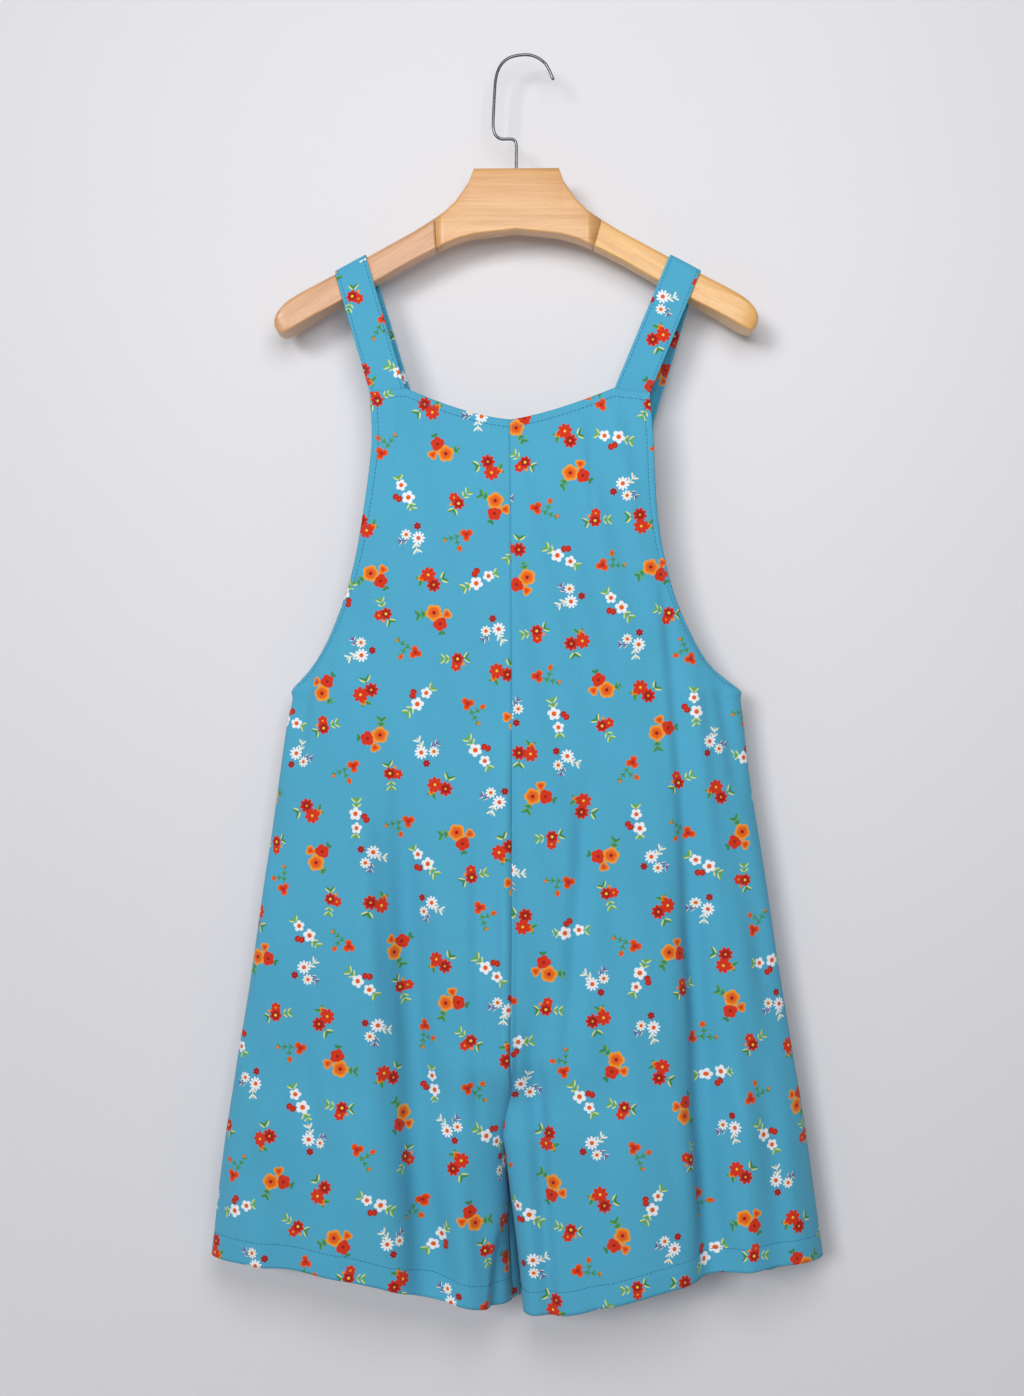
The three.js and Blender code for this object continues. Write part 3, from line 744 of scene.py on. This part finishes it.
def strap_pieces(side):
    """A strap of folded cloth, and the stitches along both its sides."""
    centre, across, normal = strap_frames(STRAPS[side])
    half_width, half_thickness = STRAP["width"] / 2, STRAP["thickness"] / 2
    section = strap_section(half_width, half_thickness)
    rings = [centre + across * w + normal * h for w, h in section]
    points = np.stack(rings, axis=1).reshape(-1, 3)
    places = [STRAP_PRINT[side] + w + STRAP_PRINT["under"] * (h < 0) for w, h in section]
    flat = [(place, along) for along in run_lengths(centre) for place in places]
    strap = new_mesh(f"cloth_strap_{side}", points, loft_faces(len(centre), len(section)), flat)
    lines = []
    for sign in (-1, 1):
        for face in (-1, 1):
            line = centre + across * sign * (half_width - STRAP_STITCH_INSET)
            line = line + normal * face * (half_thickness - STITCH_DENT["depth"] / 2)
            lines.append((line, normal * face))
    return strap, stitches(f"stitches_strap_{side}", lines)


def loft_faces(rings, count):
    faces = []
    for r in range(rings - 1):
        for i in range(count):
            a, b = r * count + i, r * count + (i + 1) % count
            faces.append((a, b, b + count, a + count))
    end = (rings - 1) * count
    faces.append(tuple(range(count - 1, -1, -1)))
    faces.append(tuple(range(end, end + count)))
    return faces


def wood_ring(top, bottom, thickness):
    """A rounded rectangle that stands between a top and a bottom point."""
    centre = (top + bottom) / 2
    up = unit(top - bottom)
    half_height = np.linalg.norm(top - bottom) / 2
    ring = []
    for corner in range(4):
        side_y = 1 if corner in (0, 3) else -1
        side_z = 1 if corner < 2 else -1
        radius = min(WOOD_EDGE if side_z > 0 else WOOD_LOWER_EDGE, half_height * WOOD_EDGE_MOST)
        for k in range(WOOD_EDGE_STEPS):
            angle = (corner + k / (WOOD_EDGE_STEPS - 1)) * np.pi / 2
            y = side_y * (thickness / 2 - radius) + radius * np.cos(angle)
            v = side_z * (half_height - radius) + radius * np.sin(angle)
            ring.append(centre + up * v + np.array([0, y, 0]))
    return ring


def hanger_place(x, z):
    return np.array([HANGER_X + x, 0, z + HANGER_TILT * x])


def wood_piece(name, side, stations, steps=0):
    """A loft of wood through its stations, smoothed into even steps if any are asked for."""
    stations = np.array(stations, float)
    if steps:
        stations = catmull_rom(stations, np.linspace(0, 1, steps + 1))
    rings = []
    for station in stations:
        top_x, top_z, bottom_x, bottom_z, thickness = station
        top = hanger_place(side * top_x, top_z)
        bottom = hanger_place(side * bottom_x, bottom_z)
        rings.append(wood_ring(top, bottom, thickness))
    count = len(rings[0])
    run = unit(np.mean(rings[-1], axis=0) - np.mean(rings[0], axis=0))
    rise = np.array([-run[2], 0, run[0]])
    points = np.array(rings).reshape(-1, 3)
    flat = np.stack([points @ run, points @ rise + points[:, 1] * GRAIN_DEPTH], axis=1)
    piece = new_mesh(name, points, loft_faces(len(rings), count), flat)
    for end in list(piece.data.polygons)[-2:]:
        end.use_smooth = False
    return piece


def arm_stations(side):
    joint = list(JOINT[side])
    joint[0] += WOOD_GAP
    joint[2] += WOOD_GAP
    return [joint, *ARM_STATIONS]


def block_stations():
    """The block's stations from its left joint to its right one."""
    halves = []
    for side in (-1, 1):
        rows = [(x, top, x, bottom, BLOCK_THICKNESS) for x, top, bottom in BLOCK_STATIONS]
        rows.append(JOINT[side])
        halves.append([(side * x, top, side * low_x, *rest) for x, top, low_x, *rest in rows])
    x, top, bottom = BLOCK_MIDDLE
    return [*reversed(halves[0]), (x, top, x, bottom, BLOCK_THICKNESS), *halves[1]]


def hook_piece():
    route = [(HANGER_X + x, 0, z) for x, z in HOOK_ROUTE]
    centre = catmull_rom(route, np.linspace(0, 1, WIRE_STEPS + 1))
    along = unit(np.gradient(centre, axis=0))
    side = np.array([0, 1.0, 0])
    up = unit(np.cross(along, side))
    rings = []
    for k in range(WIRE_SIDES):
        angle = 2 * np.pi * k / WIRE_SIDES
        rings.append(centre + WIRE_RADIUS * (np.cos(angle) * side + np.sin(angle) * up))
    points = np.stack(rings, axis=1).reshape(-1, 3)
    flat = [(length, k) for length in run_lengths(centre) for k in range(WIRE_SIDES)]
    return new_mesh("wire_hook", points, loft_faces(len(centre), WIRE_SIDES), flat)


class Value:
    """A number in a node tree, with ordinary arithmetic. Each step adds a Math node."""

    def __init__(self, tree, socket):
        self.tree = tree
        self.socket = socket

    def math(self, operation, *others):
        node = self.tree.nodes.new("ShaderNodeMath")
        node.operation = operation
        for socket, value in zip(node.inputs, (self, *others)):
            connect(self.tree, value, socket)
        return Value(self.tree, node.outputs[0])

    def __add__(self, other):
        return self.math("ADD", other)

    def __sub__(self, other):
        return self.math("SUBTRACT", other)

    def __mul__(self, other):
        return self.math("MULTIPLY", other)

    def __truediv__(self, other):
        return self.math("DIVIDE", other)

    def ramp(self, low, high):
        """0 at low and 1 at high, with a soft step between them."""
        node = self.tree.nodes.new("ShaderNodeMapRange")
        node.interpolation_type = "SMOOTHSTEP"
        connect(self.tree, self, node.inputs["Value"])
        connect(self.tree, low, node.inputs["From Min"])
        connect(self.tree, high, node.inputs["From Max"])
        return Value(self.tree, node.outputs["Result"])


def connect(tree, value, socket):
    """Links a socket or a Value to an input, or writes a plain number or colour into it."""
    if isinstance(value, Value):
        tree.links.new(value.socket, socket)
    elif isinstance(value, bpy.types.NodeSocket):
        tree.links.new(value, socket)
    elif hasattr(value, "__len__") and len(value) == 3 and socket.type == "RGBA":
        socket.default_value = (*value, 1)
    else:
        socket.default_value = value


def set_inputs(tree, node, **inputs):
    """Fills a node's inputs by their names, with an underscore for each space."""
    for name, value in inputs.items():
        connect(tree, value, node.inputs[name.replace("_", " ")])


def add_node(tree, kind, **inputs):
    node = tree.nodes.new(kind)
    set_inputs(tree, node, **inputs)
    return node


def flat_layout(tree):
    """The place of a point on the flat cloth, or along and across a piece of wood or wire."""
    node = add_node(tree, "ShaderNodeUVMap")
    node.uv_map = "flat"
    return node.outputs[0]


# Sockets of a Mix node, whose names repeat for each of its kinds of data
MIX_SHARE, MIX_A, MIX_B, MIX_RESULT = 0, 6, 7, 2


def mix(tree, share, a, b, blend="MIX"):
    """Colour a where share is 0 and colour b where it is 1."""
    node = tree.nodes.new("ShaderNodeMix")
    node.data_type = "RGBA"
    node.blend_type = blend
    for socket, value in ((MIX_SHARE, share), (MIX_A, a), (MIX_B, b)):
        connect(tree, value, node.inputs[socket])
    return node.outputs[MIX_RESULT]


def linear(*rgb):
    """A colour given as screen values from 0 to 255, turned into linear light."""
    shares = [value / 255 for value in rgb]
    return tuple(c / 12.92 if c <= 0.04045 else ((c + 0.055) / 1.055) ** 2.4 for c in shares)


# Print: small bunches of garden flowers, scattered on turquoise. Sizes are in millimetres.
GROUND = linear(79, 169, 202)
WHITE = linear(240, 243, 246)
CREAM = linear(236, 236, 214)
YELLOW = linear(250, 204, 64)
AMBER = linear(246, 160, 44)
ORANGE = linear(232, 98, 26)
RED = linear(214, 52, 22)
DARK_RED = linear(160, 24, 22)
OLIVE = linear(62, 136, 74)
LEAF = linear(104, 170, 84)
PALE_LEAF = linear(214, 226, 158)
PURPLE = linear(104, 66, 140)
WRONG_SIDE = linear(92, 150, 182)

PRINT_PITCH = 39.5
PRINT_JITTER = 11
PRINT_SLANT = math.radians(17)
PRINT_SCALE = 1.1
PRINT_OFFSET = 3000
BACK_PRINT = 700
SIDE_PRINT = {"left": 0, "right": 1330}
BUNCH_KINDS = 6
NUMBER_RANGE = 20

# One row for each kind of bunch: place, radius, petals, notch, core radius and three colours
FLOWERS = (
    (
        (-4, 2, 6.6, 5, 0.2, 1.4, AMBER, ORANGE, DARK_RED),
        (-4, 1, 6.2, 8, 0.34, 1.0, RED, RED, YELLOW),
        (-3, 2, 5.4, 10, 0.55, 1.7, WHITE, WHITE, ORANGE),
        (-5, 1, 5.3, 5, 0.4, 1.9, WHITE, WHITE, ORANGE),
        (-3, 6, 5.4, 3, 0.6, 0.9, ORANGE, RED, DARK_RED),
        (0, 1, 5.0, 7, 0.3, 1.1, RED, DARK_RED, YELLOW),
    ),
    (
        (4, -4, 5.8, 5, 0.22, 1.2, RED, RED, DARK_RED),
        (4, -3, 5.8, 8, 0.34, 0.9, RED, DARK_RED, AMBER),
        (3, -6, 4.3, 9, 0.55, 1.4, WHITE, CREAM, ORANGE),
        (5, -4, 4.5, 5, 0.4, 1.7, WHITE, WHITE, ORANGE),
        (8, 1, 2.4, 2, 0.5, 0.6, ORANGE, ORANGE, RED),
        (3, -4, 4.2, 6, 0.32, 0.8, RED, RED, AMBER),
    ),
    (
        (6, 5, 4.2, 3, 0.42, 0.9, AMBER, ORANGE, RED),
        (-7, -4, 3.0, 3, 0.6, 0.8, AMBER, ORANGE, RED),
        (-8, -6, 3.0, 6, 0.36, 0.7, DARK_RED, DARK_RED, RED),
        (2, 6, 3.9, 2, 0.6, 0.7, DARK_RED, RED, DARK_RED),
        (2, -11, 1.4, 5, 0.3, 0.5, ORANGE, RED, YELLOW),
        (6, 1, 1.4, 5, 0.3, 0.5, AMBER, RED, YELLOW),
    ),
)
# One row for each kind of bunch: root, direction, leaf length and width, pairs, spacing, colours
SPRIGS = (
    (
        (-9, -1, 215, 5.4, 2.6, 2, 3.6, OLIVE, LEAF),
        (6, 3, 60, 6.0, 3.0, 1, 4.0, OLIVE, PALE_LEAF),
        (1, 3, 66, 5.0, 1.5, 2, 4.2, CREAM, CREAM),
        (-8, 4, 150, 5.6, 2.8, 2, 3.6, LEAF, PALE_LEAF),
        (-2, 1, 285, 3.4, 1.4, 3, 4.6, OLIVE, LEAF),
        (3, 4, 55, 5.6, 2.6, 1, 3.6, OLIVE, PALE_LEAF),
    ),
    (
        (7, -8, 300, 3.6, 2.0, 1, 3.4, OLIVE, OLIVE),
        (-5, -4, 235, 5.4, 2.6, 1, 3.6, OLIVE, LEAF),
        (4, -2, 335, 4.2, 1.5, 2, 4.0, PURPLE, CREAM),
        (8, -6, 320, 5.2, 2.6, 1, 3.6, LEAF, PALE_LEAF),
        (1, -2, 20, 3.2, 1.3, 2, 4.0, OLIVE, LEAF),
        (-4, -3, 220, 5.0, 2.4, 2, 3.4, LEAF, PALE_LEAF),
    ),
)

# How petals, leaves and stems are painted: pairs are the two ends of a soft step
PRINT_EDGE = 0.3
PETAL_POWER = 0.7
PETAL_SHADE = (0.45, 0.95)
PETAL_GAP = {"wave": (0.3, 0.05), "reach": (0.25, 0.5), "share": 0.45}
FIRST_PAIR = 0.3
LEAF_SHADE = (-0.2, 0.5)
LEAF_EDGE = (1.12, 0.88)
STEM_EDGE = (0.5, 0.1)
STEM_ENDS = (-1, 0)


def choose(tree, kind, rows):
    """One of six rows of three numbers from 0 to 1, by the kind of bunch."""
    node = tree.nodes.new("ShaderNodeValToRGB")
    ramp = node.color_ramp
    ramp.interpolation = "CONSTANT"
    while len(ramp.elements) < len(rows):
        ramp.elements.new(1)
    for i, row in enumerate(rows):
        ramp.elements[i].position = i / len(rows)
        ramp.elements[i].color = (*row, 1)
    connect(tree, kind, node.inputs[0])
    return node.outputs[0]


def split(tree, vector):
    """The three numbers of a vector or colour."""
    parts = add_node(tree, "ShaderNodeSeparateXYZ", Vector=vector)
    return [Value(tree, socket) for socket in parts.outputs]


def choose_numbers(tree, kind, rows):
    """Numbers by kind, three of them in each colour. All lie between -20 and 20."""
    numbers = []
    for first in range(0, len(rows[0]), 3):
        packed = [[0.5 + value / (2 * NUMBER_RANGE) for value in row[first:first + 3]] for row in rows]
        parts = split(tree, choose(tree, kind, packed))
        numbers += [(part - 0.5) * (2 * NUMBER_RANGE) for part in parts]
    return numbers


def turned(x, y, cosine, sine):
    """A point seen from axes that are turned by an angle, given by its cosine and sine."""
    return x * cosine + y * sine, y * cosine - x * sine


def flower_layer(tree, kind, x, y, ground, rows):
    """Paints one flower of petals round a core, whose edge follows a wave."""
    numbers = choose_numbers(tree, kind, [row[:6] for row in rows])
    centre_x, centre_y, radius, petals, notch, core = numbers
    outer, inner, middle = (choose(tree, kind, [row[k] for row in rows]) for k in (6, 7, 8))
    dx, dy = x - centre_x, y - centre_y
    distance = (dx * dx + dy * dy).math("SQRT")
    wave = (dy.math("ARCTAN2", dx) * petals * 0.5).math("COSINE").math("ABSOLUTE")
    edge = radius * (wave.math("POWER", PETAL_POWER) * notch - notch + 1)
    reach = distance / edge
    petal = mix(tree, reach.ramp(*PETAL_SHADE), inner, outer)
    between = wave.ramp(*PETAL_GAP["wave"]) * reach.ramp(*PETAL_GAP["reach"])
    petal = mix(tree, between * PETAL_GAP["share"], petal, inner)
    flower = mix(tree, (distance - core).ramp(PRINT_EDGE, -PRINT_EDGE), petal, middle)
    return mix(tree, (distance - edge).ramp(PRINT_EDGE, -PRINT_EDGE), ground, flower)


def sprig_layer(tree, kind, x, y, ground, rows):
    """Paints a stem with pairs of leaves that point outwards from it."""
    sizes = [(*row[:2], math.radians(row[2]), *row[3:7], 0, 0) for row in rows]
    numbers = choose_numbers(tree, kind, sizes)
    root_x, root_y, angle, length, width, pairs, spacing = numbers[:7]
    dark, light = (choose(tree, kind, [row[k] for row in rows]) for k in (7, 8))
    along, across = turned(x - root_x, y - root_y, angle.math("COSINE"), angle.math("SINE"))
    aside = across.math("ABSOLUTE")
    number = (along / spacing).math("FLOOR").math("MAXIMUM", 0).math("MINIMUM", pairs - 1)
    step = along - (number + FIRST_PAIR) * spacing
    leaf_along = (step + aside) * math.sqrt(0.5) - length * 0.5
    leaf_across = (aside - step) * math.sqrt(0.5)
    a = leaf_along / (length * 0.5)
    b = leaf_across / (width * 0.5)
    oval = a * a + b * b
    leaf = mix(tree, b.ramp(*LEAF_SHADE), dark, light)
    stem_ends = along.ramp(*STEM_ENDS) * (pairs * spacing - along).ramp(*STEM_ENDS)
    painted = mix(tree, aside.ramp(*STEM_EDGE) * stem_ends, ground, dark)
    return mix(tree, oval.ramp(*LEAF_EDGE), painted, leaf)


def print_group():
    """The flower print as a node group. It reads the flat layout of the cloth."""
    tree = bpy.data.node_groups.new("flower_print", "ShaderNodeTree")
    tree.interface.new_socket("Color", in_out="OUTPUT", socket_type="NodeSocketColor")
    place_x, place_y, _ = split(tree, flat_layout(tree))
    across, down = turned(place_x, place_y, math.cos(PRINT_SLANT) / MM, math.sin(PRINT_SLANT) / MM)
    across = across + PRINT_OFFSET
    cell_x = (across / PRINT_PITCH).math("FLOOR")
    odd = cell_x.math("FLOORED_MODULO", 2)
    down = down + PRINT_OFFSET + odd * (PRINT_PITCH / 2)
    cell_y = (down / PRINT_PITCH).math("FLOOR")
    x = across - (cell_x + 0.5) * PRINT_PITCH
    y = down - (cell_y + 0.5) * PRINT_PITCH
    cell = add_node(tree, "ShaderNodeCombineXYZ", X=cell_x, Y=cell_y)
    dice = add_node(tree, "ShaderNodeTexWhiteNoise", Vector=cell.outputs[0])
    random_x, random_y, random_turn = split(tree, dice.outputs["Color"])
    x = (x - (random_x - 0.5) * PRINT_JITTER) / PRINT_SCALE
    y = (y - (random_y - 0.5) * PRINT_JITTER) / PRINT_SCALE
    angle = random_turn * (2 * math.pi)
    x, y = turned(x, y, angle.math("COSINE"), angle.math("SINE"))
    kind = (cell_x * 2 + cell_y).math("FLOORED_MODULO", BUNCH_KINDS)
    kind = (kind + 0.5) / BUNCH_KINDS
    colour = GROUND
    for rows in SPRIGS:
        colour = sprig_layer(tree, kind, x, y, colour, rows)
    for rows in reversed(FLOWERS):
        colour = flower_layer(tree, kind, x, y, colour, rows)
    output = tree.nodes.new("NodeGroupOutput")
    connect(tree, colour, output.inputs[0])
    return tree


# Noises of the materials: scale, detail and, where one runs along the piece, its stretch
NOISES = {
    "threads_down": (900, 2, (1, 0.12, 1)),
    "threads_across": (900, 2, (0.12, 1, 1)),
    "clouds": (9, 3),
    "rumple": (60, 4),
    "sewing": (400, 2),
    "grain": (560, 5, (0.03, 1, 1)),
    "bands": (90, 3, (0.05, 1, 1)),
    "flecks": (900, 2, (0.16, 1, 1)),
    "rub": (500, 4, (0.2, 1, 1)),
    "paint": (3, 2),
}
CLOTH = {"Roughness": 0.86, "Sheen_Weight": 0.12, "Sheen_Roughness": 0.5, "Specular_IOR_Level": 0.25}
CLOTH_TONE = {"least": 0.85, "clouds": 0.12, "slub": 0.09}
CLOTH_RELIEF = {"weave": 0.1, "slub": 0.25, "rumple": 0.8}
CLOTH_BUMP = {"Strength": 0.35, "Distance": 0.6 * MM}
THREAD_WIDTH = 0.5
WRONG_SIDE_SHARE = 0.45
SEWING_COLOURS = (linear(34, 100, 138), linear(52, 132, 168))
SEWING_ROUGHNESS = 0.7
WOOD_COAT = {"Coat_Weight": 0.25, "Coat_Roughness": 0.28}
WOOD_BUMP = {"Strength": 0.25, "Distance": 0.3 * MM}
WOOD_ROUGHNESS = {"least": 0.3, "grain": 0.16}
WOOD_TONE = {"grain": 0.6, "bands": 0.7, "range": (0.4, 0.9)}
FLECK_RANGE = (0.6, 0.72)
STEEL_COLOURS = (linear(84, 86, 92), linear(124, 126, 131))
STEEL_ROUGHNESS = {"least": 0.12, "rub": 0.16}
PAINT = {"Roughness": 0.9, "Specular_IOR_Level": 0.1}
PAINT_UNEVENNESS = 1.03


def new_material(name):
    material = bpy.data.materials.new(name)
    material.use_nodes = True
    return material, material.node_tree, material.node_tree.nodes["Principled BSDF"]


def noise(tree, coordinates, kind):
    """One of the noises, as a value over some coordinates."""
    scale, detail, *stretch = NOISES[kind]
    if stretch:
        moved = add_node(tree, "ShaderNodeMapping", Vector=coordinates, Scale=stretch[0])
        coordinates = moved.outputs[0]
    node = add_node(tree, "ShaderNodeTexNoise", Vector=coordinates, Scale=scale, Detail=detail)
    return Value(tree, node.outputs[0])


def relief(tree, height, form):
    """A normal that follows a height."""
    return add_node(tree, "ShaderNodeBump", Height=height, **form).outputs[0]


def cloth_material(name, print_tree, fade=0.0):
    """Soft matt plain weave with the flower print. The wrong side is paler and plainer."""
    material, tree, shader = new_material(name)
    printed = tree.nodes.new("ShaderNodeGroup")
    printed.node_tree = print_tree
    layout = flat_layout(tree)
    colour = printed.outputs[0]
    if fade:
        colour = mix(tree, fade, colour, WRONG_SIDE)
    slub = noise(tree, layout, "threads_down") + noise(tree, layout, "threads_across")
    tone = noise(tree, layout, "clouds") * CLOTH_TONE["clouds"] + slub * CLOTH_TONE["slub"]
    tone = tone + CLOTH_TONE["least"]
    grey = add_node(tree, "ShaderNodeCombineXYZ", X=tone, Y=tone, Z=tone).outputs[0]
    colour = mix(tree, 1, colour, grey, "MULTIPLY")
    height = weave_height(tree, layout) * CLOTH_RELIEF["weave"] + slub * CLOTH_RELIEF["slub"]
    height = height + noise(tree, layout, "rumple") * CLOTH_RELIEF["rumple"]
    normal = relief(tree, height, CLOTH_BUMP)
    set_inputs(tree, shader, Base_Color=colour, Normal=normal, **CLOTH)
    return material


def weave_height(tree, layout):
    """Over and under of a plain weave."""
    across, down, _ = split(tree, layout)
    waves = math.pi / (THREAD_WIDTH * MM)
    return (across * waves).math("SINE") * (down * waves).math("SINE")


def thread_material():
    material, tree, shader = new_material("sewing_thread")
    place = add_node(tree, "ShaderNodeTexCoord").outputs["Object"]
    colour = mix(tree, noise(tree, place, "sewing"), *SEWING_COLOURS)
    set_inputs(tree, shader, Base_Color=colour, Roughness=SEWING_ROUGHNESS)
    return material


def wood_material(name, light, dark, flecks):
    """Lacquered beech: fine long grain, short darker flecks and a soft satin coat."""
    material, tree, shader = new_material(name)
    layout = flat_layout(tree)
    grain = noise(tree, layout, "grain")
    bands = noise(tree, layout, "bands")
    fleck = noise(tree, layout, "flecks").ramp(*FLECK_RANGE)
    share = (grain * WOOD_TONE["grain"] + bands * WOOD_TONE["bands"]).ramp(*WOOD_TONE["range"])
    colour = mix(tree, share, light, dark)
    colour = mix(tree, fleck * flecks, colour, dark)
    roughness = grain * WOOD_ROUGHNESS["grain"] + WOOD_ROUGHNESS["least"]
    normal = relief(tree, grain + fleck, WOOD_BUMP)
    set_inputs(tree, shader, Base_Color=colour, Roughness=roughness, Normal=normal, **WOOD_COAT)
    return material


def steel_material():
    """Plated wire, with faint rubbed streaks along it."""
    material, tree, shader = new_material("plated_wire")
    rub = noise(tree, flat_layout(tree), "rub")
    roughness = rub * STEEL_ROUGHNESS["rub"] + STEEL_ROUGHNESS["least"]
    set_inputs(tree, shader, Base_Color=mix(tree, rub, *STEEL_COLOURS), Metallic=1, Roughness=roughness)
    return material


def stage_material(name, colour, see_through_from_behind=False):
    """Plain pale paint with a hardly visible unevenness."""
    material, tree, shader = new_material(name)
    place = add_node(tree, "ShaderNodeTexCoord").outputs["Object"]
    pale = tuple(min(1, c * PAINT_UNEVENNESS) for c in colour)
    painted = mix(tree, noise(tree, place, "paint"), colour, pale)
    set_inputs(tree, shader, Base_Color=painted, **PAINT)
    if see_through_from_behind:
        geometry = add_node(tree, "ShaderNodeNewGeometry")
        clear = add_node(tree, "ShaderNodeBsdfTransparent")
        switch = add_node(tree, "ShaderNodeMixShader", Fac=geometry.outputs["Backfacing"])
        connect(tree, shader.outputs[0], switch.inputs[1])
        connect(tree, clear.outputs[0], switch.inputs[2])
        connect(tree, switch.outputs[0], tree.nodes["Material Output"].inputs["Surface"])
    return material


# Stage: a pale wall just behind the garment and a pale floor below it
WALL_Y = 36
WALL_HALF_WIDTH = 1600
WALL_TOP = 500
FLOOR_Z = -1320
FLOOR_FRONT_Y = -2600


WALL_PAINT = linear(229, 228, 231)
FLOOR_PAINT = linear(196, 196, 198)


def stage_sheet(name, first, last, material):
    """A flat sheet between two level edges, each given by its y and z."""
    corners = [(side * WALL_HALF_WIDTH, *first) for side in (-1, 1)]
    corners += [(side * WALL_HALF_WIDTH, *last) for side in (1, -1)]
    sheet = new_mesh(name, corners, [(0, 1, 2, 3)])
    sheet.data.materials.append(material)
    return sheet


def add_stage():
    paint = stage_material("wall_paint", WALL_PAINT, True)
    wall = stage_sheet("stage_wall", (WALL_Y, FLOOR_Z), (WALL_Y, WALL_TOP), paint)
    paint = stage_material("floor_paint", FLOOR_PAINT)
    floor = stage_sheet("stage_floor", (FLOOR_FRONT_Y, FLOOR_Z), (-FLOOR_FRONT_Y, FLOOR_Z), paint)


# Lights, placed and sized in metres
LIGHTS = (
    {"name": "key", "place": (-3.6, -7.2, 1.2), "size": 2.2, "power": 250},
    {"name": "front", "place": (0.02, -1.2, 0), "size": 0.7, "power": 8.2},
)
LIGHT_TARGET = (-0.01, 0, -0.45)
WORLD_COLOUR = (0.95, 0.97, 1.0)
WORLD_STRENGTH = 0.22


def add_lights():
    for spec in LIGHTS:
        data = bpy.data.lights.new(spec["name"], "AREA")
        data.energy = spec["power"]
        data.size = spec["size"]
        light = add_object(spec["name"], data)
        light.location = spec["place"]
        aim = Vector(LIGHT_TARGET) - Vector(spec["place"])
        light.rotation_euler = aim.to_track_quat("-Z", "Y").to_euler()
    world = bpy.data.worlds.new("studio")
    bpy.context.scene.world = world
    world.use_nodes = True
    background = world.node_tree.nodes["Background"]
    background.inputs["Color"].default_value = (*WORLD_COLOUR, 1)
    background.inputs["Strength"].default_value = WORLD_STRENGTH


def add_camera():
    bpy.context.scene.view_settings.view_transform = "Standard"
    data = bpy.data.cameras.new("camera")
    data.sensor_width = SENSOR
    data.sensor_fit = "AUTO"
    data.lens = SENSOR * CAMERA_DISTANCE / (IMAGE_HEIGHT * PIXEL)
    camera = add_object("camera", data)
    camera.location = (CAMERA_X * MM, -CAMERA_DISTANCE * MM, CAMERA_Z * MM)
    camera.rotation_euler = (math.radians(90), 0, 0)
    bpy.context.scene.camera = camera


def dress(piece, materials, node):
    """Gives a piece its materials, parents it to the root body and hides the part's node, if one is
    given, that the piece is drawn in place of.
    """
    for material in materials:
        piece.data.materials.append(material)
    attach(piece, "root")
    if node:
        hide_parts(node)


def make_romper():
    print_tree = print_group()
    outside = cloth_material("printed_cloth", print_tree)
    inside = cloth_material("printed_cloth_wrong_side", print_tree, WRONG_SIDE_SHARE)
    thread = thread_material()
    for face in ("front", "back"):
        for side in ("left", "right"):
            panel = Panel(face, side)
            piece = panel_piece(panel)
            dress(piece, [outside, inside], panel.name)
            paths = [panel.at(s, level) for s, level in panel.stitch_paths()]
            sewing = stitches(f"stitches_{panel.name}", paths)
            dress(sewing, [thread], None)
    for side in ("left", "right"):
        strap, sewing = strap_pieces(side)
        dress(strap, [outside], f"strap_{side}")
        dress(sewing, [thread], None)


def make_hanger():
    pinkish = wood_material("beech_left", linear(222, 170, 124), linear(194, 138, 96), 0.35)
    middle = wood_material("beech_block", linear(228, 176, 115), linear(208, 149, 90), 0.3)
    yellowish = wood_material("beech_right", linear(240, 189, 116), linear(212, 152, 82), 0.6)
    left = wood_piece("wood_arm_left", -1, arm_stations(-1), ARM_STEPS)
    right = wood_piece("wood_arm_right", 1, arm_stations(1), ARM_STEPS)
    block = wood_piece("wood_block", 1, block_stations())
    dress(left, [pinkish], "hanger_arm_left")
    dress(right, [yellowish], "hanger_arm_right")
    dress(block, [middle], "hanger_block")
    dress(hook_piece(), [steel_material()], "hanger_hook")


add_camera()
make_hanger()
make_romper()
add_stage()
add_lights()
